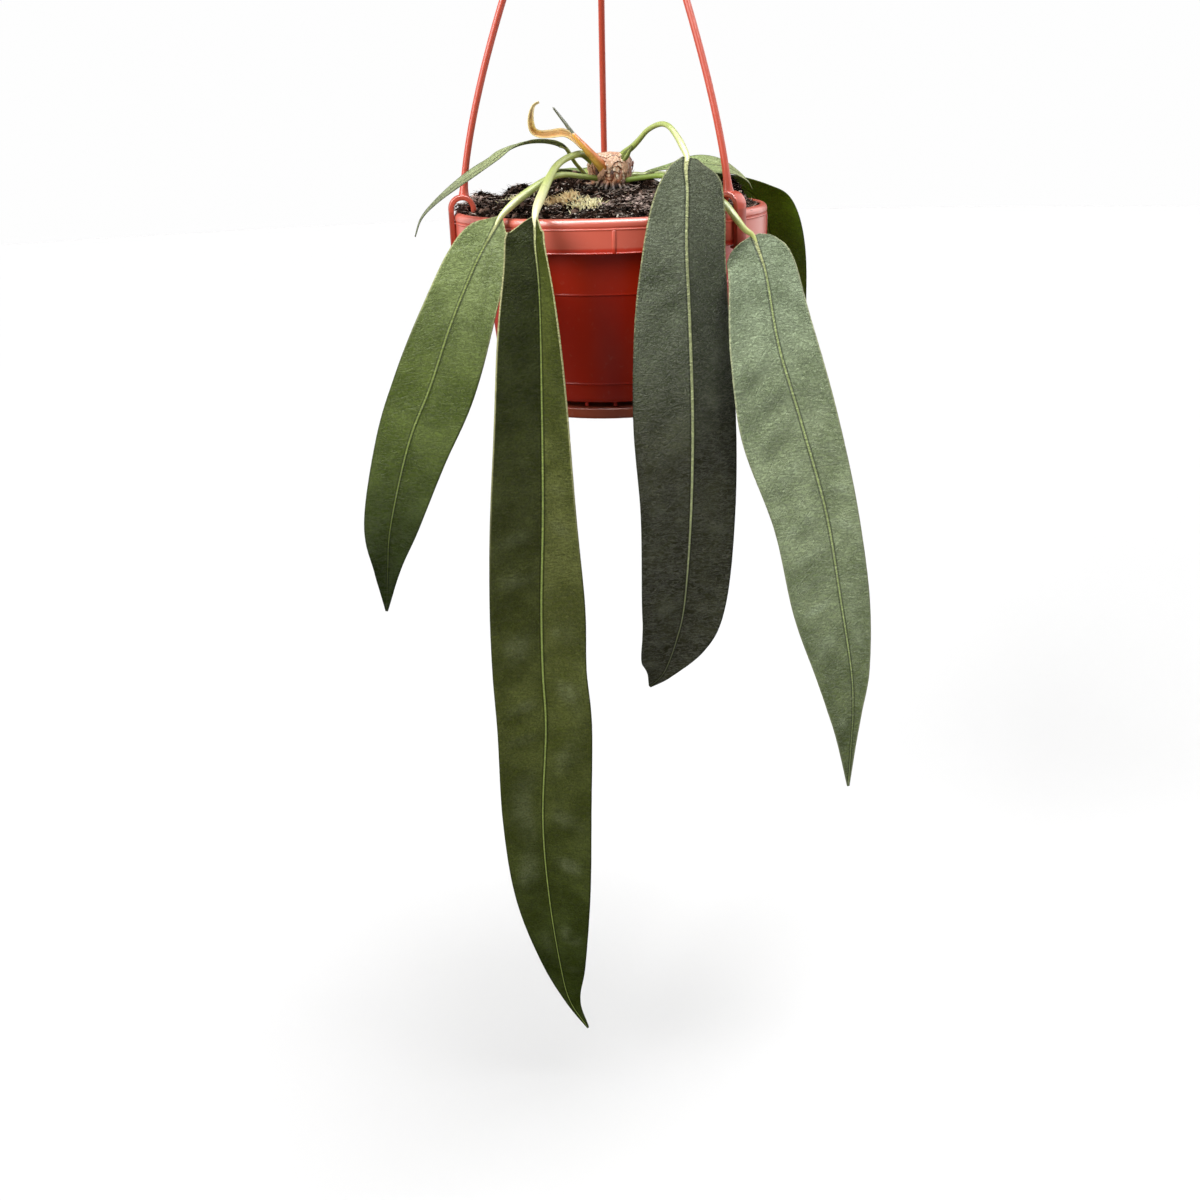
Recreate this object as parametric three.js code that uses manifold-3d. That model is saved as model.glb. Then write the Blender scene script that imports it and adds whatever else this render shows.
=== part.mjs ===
// A strap-leaved anthurium growing in a small plastic hanging pot, in millimetres, +Z up.
// The origin is the seat of the hook, the point that rests on a rail. The model is drawn in the pot's
// own frame, with z = 0 at the top of the rim and the pot's axis on x = y = 0, and then lowered.

import * as THREE from 'three';
import { mergeVertices } from 'three/addons/utils/BufferGeometryUtils.js';
import Module from 'manifold-3d';

const wasm = await Module();
wasm.setup();

// Pot, all heights measured from the rim's top
const RIM_RADIUS = 75;
const BAND_HEIGHT = 14.8;
const BAND_WALL = 1.7;
const SHELF_Z = -11.7;
const NECK_RADIUS = 63;
const UPPER_STEP_Z = -34.3;
const UPPER_STEP_RADIUS = 61.2;
const LOWER_STEP_Z = -75.3;
const LOWER_STEP_RADIUS = 57;
const FOOT_Z = -84.2;
const FOOT_RADIUS = 55;
const WALL = 1.4;
const RIM_INSIDE = RIM_RADIUS - 2.9;
const FLOOR_RADIUS = FOOT_RADIUS - WALL - 1;
const STEP_DEPTH = 0.5;
const STEP_HEIGHT = 0.3;
const RIB_COUNT = 9;
const RIB_WIDTH = 1.5;
const RIB_PROUD = 0.35;
const RIB_TOP_Z = -4.9;
const FIRST_RIB_ANGLE = -89;
const DRAIN_COUNT = 6;
const DRAIN_RADIUS = 3.5;
const DRAIN_CIRCLE = 34;
const DRAIN_SIDES = 12;
const PEG_COUNT = 24;
const PEG_WIDTH = 1.6;
const PEG_DEPTH = 1.4;
const PEG_CIRCLE = 51.4;
const PEG_ROOT = 0.6;
const POT_SIDES = 48;

// Saucer
const SAUCER_RADIUS = 56.3;
const SAUCER_TOP_Z = -86.6;
const SAUCER_BASE_Z = -91.6;
const SAUCER_FLOOR = 1.4;
const SAUCER_WALL = 1.4;
const SAUCER_LEDGE = 4;

// Hanger
const ARM_RADIUS = 1.6;
const ARM_FOOT_RADIUS = 70;
const ARM_FOOT_Z = 6.6;
const ARM_REACH_Z = 189;
const ARM_ANGLES = [190, 92, -41];
const ARM_BOWS = [1.42, 1.42, 1.36];
const CLIP_WIDTH = 7;
const CLIP_THICK = 1.8;
const CLIP_CENTRE = 71.4;
const CLIP_OUTER_FACE = 75.9;
const CLIP_SPRING_Z = 1.5;
const HUB_Z = 176;
const HUB_RADIUS = 8.5;
const HUB_HEIGHT = 7;
const HUB_TAPER = 0.8;
const HOOK_CENTRE_Z = 202.5;
const HOOK_BEND = 10.5;
const HOOK_ROD = 2.3;
const HOOK_FROM = -38;
const HOOK_TO = 186;
const HOOK_STEP = 28;
const ROD_SIDES = 8;
const SEAT_Z = HOOK_CENTRE_Z + HOOK_BEND - HOOK_ROD;

// Soil
const SOIL_GAP = 0.4;
const SOIL_EDGE_Z = -2.4;
const SOIL_HEAP = 10;
const SOIL_RINGS = 11;
const SOIL_SIDES = 44;
const SOIL_LUMP = 0.45;
const SOIL_MOUNDS = [
  { x: -64, y: 6, size: 8, height: 11.5 },
  { x: -46, y: 22, size: 10, height: 6.5 },
  { x: 58, y: 30, size: 14, height: 5 },
];

// Plant
const GAP = 0.3;
const LEAF_THICK = 0.9;
const LEAF_STEPS = 20;
const LEAF_COLUMNS = [-1, -0.6, -0.14, 0, 0.14, 0.6, 1];
const LEAF_MARGIN_THICK = 0.63;
const MIDRIB_RISE = 0.35;
const MIDRIB_KEEL = 1;
const WAVE_FULL_REACH = 8;
const RIGHT_WAVE_LAG = 2.1;
const STEM_SIDES = 7;

// Colours and finishes
const POT_COLOUR = 0xb9543f;
const SAUCER_COLOUR = 0x7a3a2c;
const HANGER_COLOUR = 0xcf5d47;
const SOIL_COLOUR = 0x33261e;
const RHIZOME_COLOUR = 0xb98d74;
const LIVE_SHEATH_COLOUR = 0xd07c32;
const DRIED_SHEATH_COLOUR = 0xa88a3c;
const NEW_LEAF_COLOUR = 0x5f6350;
const PLASTIC_ROUGHNESS = 0.35;
const LEAF_ROUGHNESS = 0.5;

// Small tools of geometry

const DEGREE = Math.PI / 180;

function point(x, y, z) {
  return new THREE.Vector3(x, y, z);
}

// A closed geometry from corner points and triangles, turned so that its faces point out.
function closedGeometry(corners, triangles) {
  let volume = 0;
  for (const [a, b, c] of triangles) {
    volume += corners[a].dot(corners[b].clone().cross(corners[c]));
  }
  const turned = volume < 0 ? triangles.map(([a, b, c]) => [a, c, b]) : triangles;
  const geometry = new THREE.BufferGeometry();
  const places = corners.flatMap((corner) => corner.toArray());
  geometry.setAttribute('position', new THREE.Float32BufferAttribute(places, 3));
  geometry.setIndex(turned.flat());
  return geometry;
}

// A closed body through a row of rings with the same number of points each.
function loft(rings) {
  const sides = rings[0].length;
  const corners = rings.flat();
  const triangles = [];
  for (let i = 0; i + 1 < rings.length; i += 1) {
    for (let k = 0; k < sides; k += 1) {
      const here = i * sides + k;
      const beside = i * sides + ((k + 1) % sides);
      triangles.push([here, beside, beside + sides]);
      triangles.push([here, beside + sides, here + sides]);
    }
  }
  for (const [start, forward] of [[0, false], [(rings.length - 1) * sides, true]]) {
    const middle = corners.length;
    const centre = new THREE.Vector3();
    for (let k = 0; k < sides; k += 1) {
      centre.addScaledVector(corners[start + k], 1 / sides);
    }
    corners.push(centre);
    for (let k = 0; k < sides; k += 1) {
      const a = start + k;
      const b = start + ((k + 1) % sides);
      triangles.push(forward ? [a, b, middle] : [b, a, middle]);
    }
  }
  return closedGeometry(corners, triangles);
}

// A round stem along hand-placed points. Its radius runs evenly through the given values.
function stem(points, radii, steps, grow = 0) {
  const path = new THREE.CatmullRomCurve3(points);
  const frames = path.computeFrenetFrames(steps);
  const rings = [];
  for (let i = 0; i <= steps; i += 1) {
    const place = (i / steps) * (radii.length - 1);
    const low = Math.min(Math.floor(place), radii.length - 2);
    const radius = THREE.MathUtils.lerp(radii[low], radii[low + 1], place - low) + grow;
    const centre = path.getPointAt(i / steps);
    if (i === 0 || i === steps) {
      centre.addScaledVector(frames.tangents[i], i === 0 ? -grow : grow);
    }
    const ring = [];
    for (let k = 0; k < STEM_SIDES; k += 1) {
      const angle = (k / STEM_SIDES) * 2 * Math.PI;
      const corner = centre.clone();
      corner.addScaledVector(frames.normals[i], radius * Math.cos(angle));
      corner.addScaledVector(frames.binormals[i], radius * Math.sin(angle));
      ring.push(corner);
    }
    rings.push(ring);
  }
  return loft(rings);
}

// A closed skin between two like grids of points. Both faces are split along the same diagonals.
function skin(top, bottom) {
  const across = top[0].length;
  const along = top.length;
  const corners = [...top.flat(), ...bottom.flat()];
  const under = across * along;
  const triangles = [];
  const quad = (a, b, c, d) => triangles.push([a, b, c], [a, c, d]);
  for (let i = 0; i + 1 < along; i += 1) {
    for (let k = 0; k + 1 < across; k += 1) {
      const a = i * across + k;
      const b = a + 1;
      const c = b + across;
      const d = a + across;
      triangles.push([a, b, c], [a, c, d]);
      triangles.push([under + a, under + c, under + b], [under + a, under + d, under + c]);
    }
    const left = i * across;
    const right = left + across - 1;
    quad(left, left + across, under + left + across, under + left);
    quad(right + across, right, under + right, under + right + across);
  }
  const last = (along - 1) * across;
  for (let k = 0; k + 1 < across; k += 1) {
    quad(k + 1, k, under + k, under + k + 1);
    quad(last + k, last + k + 1, under + last + k + 1, under + last + k);
  }
  return closedGeometry(corners, triangles);
}

function solid(geometry) {
  const bare = geometry.clone();
  bare.deleteAttribute('normal');
  bare.deleteAttribute('uv');
  const merged = mergeVertices(bare, 1e-4);
  return new wasm.Manifold(new wasm.Mesh({
    numProp: 3,
    vertProperties: Float32Array.from(merged.attributes.position.array),
    triVerts: Uint32Array.from(merged.index.array),
  }));
}

function geometryOf(body) {
  const result = body.getMesh();
  const geometry = new THREE.BufferGeometry();
  geometry.setAttribute('position', new THREE.BufferAttribute(result.vertProperties, 3));
  geometry.setIndex(new THREE.BufferAttribute(result.triVerts, 1));
  geometry.computeVertexNormals();
  return geometry;
}

const part = new THREE.Group();
const plant = new THREE.Group();
plant.position.z = -SEAT_Z;
part.add(plant);

function addPiece(name, body, colour, roughness) {
  const finish = new THREE.MeshStandardMaterial({ color: colour, roughness, metalness: 0 });
  const piece = new THREE.Mesh(geometryOf(body), finish);
  piece.name = name;
  plant.add(piece);
}

// Pot: a thin moulded shell. The rim is a band that hangs over a shelf, and the wall below it steps in
// by a hair at two lines and turns into a rounded foot.
function makePot() {
  const outerLip = RIM_RADIUS - 1.3;
  const innerLip = RIM_RADIUS - 2.2;
  const profile = [
    [0, FOOT_Z],
    [FOOT_RADIUS - 2, FOOT_Z],
    [FOOT_RADIUS - 0.4, FOOT_Z + 0.9],
    [FOOT_RADIUS + 0.8, FOOT_Z + 3.6],
    [LOWER_STEP_RADIUS - STEP_DEPTH, LOWER_STEP_Z],
    [LOWER_STEP_RADIUS, LOWER_STEP_Z + STEP_HEIGHT],
    [UPPER_STEP_RADIUS - STEP_DEPTH, UPPER_STEP_Z],
    [UPPER_STEP_RADIUS, UPPER_STEP_Z + STEP_HEIGHT],
    [NECK_RADIUS, SHELF_Z],
    [RIM_RADIUS - BAND_WALL, SHELF_Z],
    [RIM_RADIUS - BAND_WALL, -BAND_HEIGHT],
    [RIM_RADIUS, -BAND_HEIGHT],
    [RIM_RADIUS - 0.2, -4.7],
    [RIM_RADIUS + 0.15, -4.2],
    [RIM_RADIUS, -2],
    [RIM_RADIUS - 0.5, -0.7],
    [outerLip, 0],
    [innerLip, 0],
    [RIM_INSIDE + 0.1, -0.8],
    [RIM_INSIDE, SHELF_Z + WALL],
    [NECK_RADIUS - WALL, SHELF_Z + WALL],
    [FLOOR_RADIUS, FOOT_Z + 3.4],
    [FLOOR_RADIUS - 1.4, FOOT_Z + WALL],
    [0, FOOT_Z + WALL],
  ];
  const shell = new THREE.LatheGeometry(profile.map(([r, z]) => new THREE.Vector2(r, z)), POT_SIDES);
  shell.rotateX(Math.PI / 2);
  let pot = solid(shell);
  const ribFoot = 0.3 - BAND_HEIGHT;
  for (let i = 0; i < RIB_COUNT; i += 1) {
    const rib = new THREE.BoxGeometry(BAND_WALL, RIB_WIDTH, RIB_TOP_Z - ribFoot);
    rib.translate(RIM_RADIUS - BAND_WALL / 2 + RIB_PROUD, 0, (ribFoot + RIB_TOP_Z) / 2);
    rib.rotateZ((FIRST_RIB_ANGLE + (i * 360) / RIB_COUNT) * DEGREE);
    pot = pot.add(solid(rib));
  }
  const pegTop = FOOT_Z + PEG_ROOT;
  const pegFoot = SAUCER_TOP_Z + GAP;
  for (let i = 0; i < PEG_COUNT; i += 1) {
    const peg = new THREE.BoxGeometry(PEG_DEPTH, PEG_WIDTH, pegTop - pegFoot);
    peg.translate(PEG_CIRCLE, 0, (pegTop + pegFoot) / 2);
    peg.rotateZ((i * 2 * Math.PI) / PEG_COUNT);
    pot = pot.add(solid(peg));
  }
  for (let i = 0; i < DRAIN_COUNT; i += 1) {
    const drain = new THREE.CylinderGeometry(DRAIN_RADIUS, DRAIN_RADIUS, 4 * WALL, DRAIN_SIDES);
    drain.rotateX(Math.PI / 2);
    const angle = (i * 2 * Math.PI) / DRAIN_COUNT;
    drain.translate(DRAIN_CIRCLE * Math.cos(angle), DRAIN_CIRCLE * Math.sin(angle), FOOT_Z);
    pot = pot.subtract(solid(drain));
  }
  return pot;
}

// Saucer: a shallow tray held under the foot, flat below.
function makeSaucer() {
  const profile = [
    [0, SAUCER_BASE_Z],
    [SAUCER_RADIUS - 1.6, SAUCER_BASE_Z],
    [SAUCER_RADIUS - 0.5, SAUCER_BASE_Z + 0.8],
    [SAUCER_RADIUS, SAUCER_TOP_Z - 0.4],
    [SAUCER_RADIUS - 0.4, SAUCER_TOP_Z],
    [SAUCER_RADIUS - SAUCER_WALL - SAUCER_LEDGE, SAUCER_TOP_Z],
    [SAUCER_RADIUS - SAUCER_WALL - SAUCER_LEDGE - 0.6, SAUCER_BASE_Z + SAUCER_FLOOR],
    [0, SAUCER_BASE_Z + SAUCER_FLOOR],
  ];
  const tray = new THREE.LatheGeometry(profile.map(([r, z]) => new THREE.Vector2(r, z)), POT_SIDES);
  tray.rotateX(Math.PI / 2);
  return solid(tray);
}

// Hanger: three bowed arms run up from clips on the rim to a small hub with a hook.
function armPoint(angle, bow, z) {
  const rise = (z - ARM_FOOT_Z) / (ARM_REACH_Z - ARM_FOOT_Z);
  const radius = ARM_FOOT_RADIUS * (1 - rise ** bow);
  return point(radius * Math.cos(angle * DEGREE), radius * Math.sin(angle * DEGREE), z);
}

function rod(points, radius, steps) {
  const corners = [];
  for (let k = 0; k < ROD_SIDES; k += 1) {
    const angle = (k / ROD_SIDES) * 2 * Math.PI;
    corners.push(new THREE.Vector2(radius * Math.cos(angle), radius * Math.sin(angle)));
  }
  const path = new THREE.CatmullRomCurve3(points);
  return new THREE.ExtrudeGeometry(new THREE.Shape(corners), { steps, extrudePath: path });
}

// The clip is an inverted U over the rim wall. Its outer leg hooks under the band. With grow it is the
// room that the clip takes in the soil.
function clipGeometry(grow = 0) {
  const lipTop = -BAND_HEIGHT - GAP;
  const legFoot = lipTop - CLIP_THICK;
  const lipReach = RIM_RADIUS - BAND_WALL + 0.2;
  const innerFoot = SHELF_Z + WALL + 1.2 - grow;
  const bend = CLIP_OUTER_FACE - CLIP_CENTRE;
  const clip = new THREE.Shape();
  const innerLeg = CLIP_CENTRE - bend;
  clip.moveTo(CLIP_OUTER_FACE + CLIP_THICK, legFoot);
  clip.lineTo(CLIP_OUTER_FACE + CLIP_THICK, CLIP_SPRING_Z);
  clip.absarc(CLIP_CENTRE, CLIP_SPRING_Z, bend + CLIP_THICK + grow, 0, Math.PI, false);
  clip.lineTo(innerLeg - CLIP_THICK - grow, innerFoot);
  clip.lineTo(innerLeg + grow, innerFoot);
  clip.lineTo(innerLeg + grow, CLIP_SPRING_Z);
  clip.absarc(CLIP_CENTRE, CLIP_SPRING_Z, bend - grow, Math.PI, 0, true);
  clip.lineTo(CLIP_OUTER_FACE, lipTop);
  clip.lineTo(lipReach, lipTop);
  clip.lineTo(lipReach, legFoot + 0.6);
  clip.closePath();
  const options = { depth: CLIP_WIDTH + 2 * grow, bevelEnabled: false, curveSegments: 8 };
  const strap = new THREE.ExtrudeGeometry(clip, options);
  strap.translate(0, 0, -CLIP_WIDTH / 2 - grow);
  strap.rotateX(Math.PI / 2);
  return strap;
}

function makeHanger() {
  const hub = new THREE.CylinderGeometry(HUB_RADIUS * HUB_TAPER, HUB_RADIUS, HUB_HEIGHT, 16);
  hub.rotateX(Math.PI / 2);
  hub.translate(0, 0, HUB_Z);
  let hanger = solid(hub);
  ARM_ANGLES.forEach((angle, arm) => {
    const points = [];
    for (const z of [ARM_FOOT_Z, 30, 60, 90, 120, 150, HUB_Z]) {
      points.push(armPoint(angle, ARM_BOWS[arm], z));
    }
    hanger = hanger.add(solid(rod(points, ARM_RADIUS, 14)));
    hanger = hanger.add(solid(clipGeometry().rotateZ(angle * DEGREE)));
  });
  const hookPoints = [
    point(0, 0, HUB_Z),
    point(0, 0, HUB_Z + 9),
    point(3.5, 0, HUB_Z + 14),
  ];
  for (let degrees = HOOK_FROM; degrees <= HOOK_TO; degrees += HOOK_STEP) {
    const x = HOOK_BEND * Math.cos(degrees * DEGREE);
    hookPoints.push(point(x, 0, HOOK_CENTRE_Z + HOOK_BEND * Math.sin(degrees * DEGREE)));
  }
  hookPoints.push(point(-HOOK_BEND - 0.8, 0, HOOK_CENTRE_Z - 6));
  return hanger.add(solid(rod(hookPoints, HOOK_ROD, 22)));
}

// Rhizome: a short upright stem in torn papery wrappings, ridged all round. Each level is a height and
// the mean radius there.
const RHIZOME_SIDES = 28;
const RHIZOME_DEPTH = 0.92;
const RHIZOME_X = 0.4;
const RHIZOME_Y = -1;
const RHIZOME_LEVELS = [
  [-6, 6],
  [3, 6.6],
  [8.5, 7.6],
  [12, 9.6],
  [15.5, 10.6],
  [19, 10.8],
  [22, 9.8],
  [24.2, 7],
];

function rhizomeGeometry(grow = 0) {
  const rings = RHIZOME_LEVELS.map(([z, radius], level) => {
    const ring = [];
    for (let k = 0; k < RHIZOME_SIDES; k += 1) {
      const angle = (k / RHIZOME_SIDES) * 2 * Math.PI;
      const ridge = 0.07 * Math.sin(7 * angle + 0.9 * level) + 0.05 * Math.sin(11 * angle - 1.7 * level);
      const reach = radius * (1 + ridge) + grow;
      const x = RHIZOME_X + reach * Math.cos(angle);
      const y = RHIZOME_Y + RHIZOME_DEPTH * reach * Math.sin(angle);
      ring.push(point(x, y, z));
    }
    return ring;
  });
  for (const corner of rings[rings.length - 1]) {
    corner.z += grow;
  }
  return loft(rings);
}

// Soil: fibrous compost that fills the pot, heaped to the middle, with mounds near the edge.
function soilRelief(x, y) {
  const reach = Math.hypot(x, y) / RIM_RADIUS;
  const settled = Math.max(0, 1 - reach ** 6);
  const coarse = Math.sin(0.31 * x + 0.17 * y) + Math.sin(0.23 * y - 0.19 * x + 1.3);
  const fine = Math.sin(0.52 * x - 0.41 * y);
  let relief = SOIL_HEAP * (1 - reach ** 2) + SOIL_LUMP * (coarse + fine);
  for (const mound of SOIL_MOUNDS) {
    relief += mound.height * Math.exp(-((x - mound.x) ** 2 + (y - mound.y) ** 2) / mound.size ** 2);
  }
  return settled * relief;
}

function makeSoil(holes) {
  const topEdge = RIM_INSIDE - SOIL_GAP;
  const shelfTop = SHELF_Z + WALL + SOIL_GAP;
  const profile = [
    [0, FOOT_Z + WALL + SOIL_GAP],
    [FLOOR_RADIUS - 1.8 - SOIL_GAP, FOOT_Z + WALL + SOIL_GAP],
    [FLOOR_RADIUS - SOIL_GAP, FOOT_Z + 3.4 + SOIL_GAP],
    [NECK_RADIUS - WALL - SOIL_GAP, shelfTop],
    [topEdge, shelfTop],
  ];
  for (let ring = SOIL_RINGS; ring >= 0; ring -= 1) {
    profile.push([(topEdge * ring) / SOIL_RINGS, SOIL_EDGE_Z]);
  }
  const heap = new THREE.LatheGeometry(profile.map(([r, z]) => new THREE.Vector2(r, z)), SOIL_SIDES);
  heap.rotateX(Math.PI / 2);
  const places = heap.attributes.position;
  for (let i = 0; i < places.count; i += 1) {
    const onTop = Math.abs(places.getZ(i) - SOIL_EDGE_Z) < 1e-3;
    if (onTop) {
      places.setZ(i, SOIL_EDGE_Z + soilRelief(places.getX(i), places.getY(i)));
    }
  }
  return holes.reduce((body, hole) => body.subtract(hole), solid(heap));
}

// Leaves. A blade follows its midrib. Each row of a blade holds the midrib's point, the half-widths to
// its left and right as seen from the leaf's upper face, the compass angle of its right-hand side, how far
// that side is banked up, and how far both halves are folded up towards the upper face.
class Blade {
  constructor(rows, wave) {
    this.midrib = new THREE.CatmullRomCurve3(rows.map((row) => point(row[0], row[1], row[2])));
    this.midrib.curveType = 'catmullrom';
    this.widths = new THREE.CatmullRomCurve3(rows.map((row) => point(row[3], row[4], 0)));
    this.widths.curveType = 'catmullrom';
    this.angles = new THREE.CatmullRomCurve3(rows.map((row) => point(row[5], row[6], row[7])));
    this.angles.curveType = 'catmullrom';
    this.wave = wave;
  }

  frame(t) {
    const along = this.midrib.getTangent(t);
    const angles = this.angles.getPoint(t);
    const side = point(Math.cos(angles.x * DEGREE), Math.sin(angles.x * DEGREE), 0);
    side.addScaledVector(along, -side.dot(along)).normalize();
    side.applyAxisAngle(along, angles.y * DEGREE);
    const face = along.clone().cross(side);
    return { along, side, face, fold: angles.z * DEGREE };
  }

  // A point of the blade's middle surface, with across running from -1 at the left margin to 1.
  place(t, across) {
    const { side, face, fold } = this.frame(t);
    const widths = this.widths.getPoint(t);
    const reach = Math.abs(across) * Math.max(across < 0 ? widths.x : widths.y, 0.5);
    const spot = this.midrib.getPoint(t);
    spot.addScaledVector(side, Math.sign(across) * reach * Math.cos(fold));
    const phase = this.wave.phase + (across < 0 ? 0 : RIGHT_WAVE_LAG);
    const ripple = this.wave.height * Math.sin(2 * Math.PI * this.wave.count * t + phase);
    const taper = Math.min(1, reach / WAVE_FULL_REACH);
    return spot.addScaledVector(face, reach * Math.sin(fold) + ripple * taper * across ** 2);
  }

  // The blade is thickest at its midrib, which stands out above and forms a keel below.
  geometry(thick, rise, keel) {
    const top = [];
    const bottom = [];
    for (let i = 0; i <= LEAF_STEPS; i += 1) {
      const t = i / LEAF_STEPS;
      const { face } = this.frame(t);
      const upper = [];
      const lower = [];
      for (const across of LEAF_COLUMNS) {
        const middle = this.place(t, across);
        const half = Math.abs(across) === 1 ? LEAF_MARGIN_THICK / 2 : thick / 2;
        const above = across === 0 ? rise : 0;
        const below = across === 0 ? keel * (1 - 0.8 * t) : 0;
        upper.push(middle.clone().addScaledVector(face, half + above));
        lower.push(middle.clone().addScaledVector(face, -half - below));
      }
      top.push(upper);
      bottom.push(lower);
    }
    return skin(top, bottom);
  }
}

const LEAVES = [
  {
    name: 'leaf_1',
    colour: 0x55683f,
    rows: [
      [-48, -62, 1, 1.2, 1.2, 0, 0, 0],
      [-53, -66, -7, 8.5, 8.5, 0, 0, 4],
      [-60, -72, -19, 12.5, 15, -8, 0, 6],
      [-71, -78, -42, 14.5, 19, -10, 0, 6],
      [-82, -80, -69, 16.5, 20.5, -10, 0, 4],
      [-94, -80, -95, 15, 19, -8, 0, 4],
      [-106, -77, -134, 12.5, 13, -4, 0, 6],
      [-110, -74, -157, 6.5, 6, 0, 0, 8],
      [-113, -71, -179, 0.6, 0.6, 0, 0, 8],
    ],
    wave: { height: 0.8, count: 2.5, phase: 0.4 },
    petiole: [
      [-5, -6, 13],
      [-14, -20, 15],
      [-20, -28, 16.2],
      [-25, -36, 16],
      [-30, -43, 14],
      [-36, -50, 10.5],
      [-42, -57, 6.5],
    ],
    radii: [1.9, 1.5, 1.5, 1.6, 1.9, 1.9],
  },
  {
    name: 'leaf_2',
    colour: 0x3c4a2c,
    rows: [
      [-32, -78, 2, 4, 1.5, -24, 0, 28],
      [-32, -84, -10, 13, 6.5, -24, 0, 28],
      [-31, -88, -31, 17, 9.6, -20, 0, 24],
      [-32, -90, -72, 20.5, 12, -14, 0, 14],
      [-34, -90, -124, 24, 15.5, -6, 0, 6],
      [-37, -89, -171, 24, 20.5, 0, 0, 4],
      [-38, -88.5, -205, 24, 21, 2, 0, 4],
      [-38, -88, -236, 23.5, 22.5, 4, 0, 4],
      [-42, -86, -288, 20, 24.5, 4, 0, 4],
      [-41, -84, -335, 17, 21.5, 0, 0, 6],
      [-37, -82, -380, 8, 13.5, 0, 0, 8],
      [-33, -81, -403, 2.5, 6, 0, 0, 10],
      [-24, -80, -422, 0.6, 0.6, 0, 0, 10],
    ],
    wave: { height: 1.2, count: 5, phase: 1.1 },
    petiole: [
      [-6, -3, 19],
      [-12, -8, 24],
      [-17, -16, 23.8],
      [-21, -24, 22.3],
      [-24, -34, 20],
      [-26, -45, 17],
      [-28, -56, 13],
      [-30, -66, 8.5],
      [-31.5, -74, 4.8],
    ],
    radii: [2.4, 1.9, 1.9, 2, 2.3, 2.4],
  },
  {
    name: 'leaf_3',
    colour: 0x46524a,
    rows: [
      [34, -56, 23, 2, 5, 10, 0, 0],
      [33, -63, 18, 8, 13.5, 12, 0, 0],
      [33, -72, 9, 13.5, 17, 16, 0, -6],
      [32, -82, -12, 18.5, 20.6, 18, 0, -16],
      [33, -84, -42, 24, 22.3, 18, 0, -18],
      [34, -86, -86, 26.5, 22.5, 14, 0, -12],
      [33, -86, -130, 23, 21.5, 10, 0, -4],
      [30, -84, -173, 20.5, 19.5, 6, 0, 4],
      [26, -83, -193, 17, 15, 4, 0, 6],
      [20, -82, -210, 12, 4.5, 0, 0, 8],
      [13, -81, -218, 0.6, 0.6, 0, 0, 8],
    ],
    wave: { height: 0.7, count: 2, phase: 2.4 },
    petiole: [
      [3, -2, 19],
      [7, -5, 23.6],
      [11, -9, 26.6],
      [14, -14, 29.6],
      [18, -22, 34],
      [23.5, -32, 36.6],
      [27, -40, 35.6],
      [30, -46, 31.8],
      [32.5, -52, 27],
    ],
    radii: [2.8, 2.4, 1.6, 1.4, 1.4, 1.6, 1.9],
  },
  {
    name: 'leaf_4',
    colour: 0x6d8069,
    rows: [
      [63, -60, -11, 5, 8.5, 22, 0, -4],
      [65, -62, -17, 13, 14.5, 24, 0, -4],
      [68, -67, -28, 17.5, 17.5, 24, 0, -4],
      [73, -75, -57, 23, 19, 14, 0, -2],
      [83, -80, -90, 28, 17, 8, 0, 0],
      [95, -84, -132, 25, 14.5, 4, 0, 2],
      [103, -86, -175, 23, 13.5, 0, 0, 4],
      [109, -86, -209, 17.5, 9, 0, 0, 4],
      [111, -85, -231, 12.5, 4.5, 0, 0, 6],
      [111, -84, -251, 6.5, 2.5, 0, 0, 8],
      [111, -82, -275, 0.6, 0.6, 0, 0, 8],
    ],
    wave: { height: 1, count: 3.5, phase: 0 },
    petiole: [
      [4, -2, 11],
      [15, -12, 13],
      [24, -22, 14],
      [37, -35, 12.5],
      [44, -46, 7.6],
      [48, -50.5, 4.9],
      [51, -53.8, 2.6],
      [53, -56.4, 0.1],
      [55.3, -58.7, -3],
      [59, -60, -7.6],
    ],
    radii: [1.6, 1.4, 1.4, 1.5, 1.6, 1.8],
  },
  {
    name: 'leaf_5',
    colour: 0x8ea06c,
    rows: [
      [-20, -8, 27, 1, 1, -35, 8, 0],
      [-24, -16, 29.3, 3, 3, -28, 4, 0],
      [-31, -28, 31, 7, 7, -36, 6, 0],
      [-38.5, -38, 30.6, 8.2, 8.2, -45, 9, 2],
      [-45, -44, 28.2, 7.8, 7.8, -52, 6, 4],
      [-51, -47, 24, 6.8, 6.8, -62, 0, 4],
      [-59, -49, 19.4, 6.2, 6.2, -72, -6, 4],
      [-67.5, -50, 14.3, 5.2, 5.2, -76, -8, 4],
      [-77, -51, 7.6, 3.4, 3.4, -80, -10, 4],
      [-84, -52, 0.8, 1.8, 1.8, -82, -11, 4],
      [-87.5, -52, -7, 0.6, 0.6, -82, -12, 4],
    ],
    wave: { height: 0.4, count: 2, phase: 0 },
    petiole: [
      [-6, 3, 12],
      [-11, 6, 14],
      [-13, 4, 16.3],
      [-16, 0, 20],
      [-18, -4, 23.6],
    ],
    radii: [1.5, 1.2, 1.2, 1.3],
  },
  {
    name: 'leaf_6',
    colour: 0x8a9a62,
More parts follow.
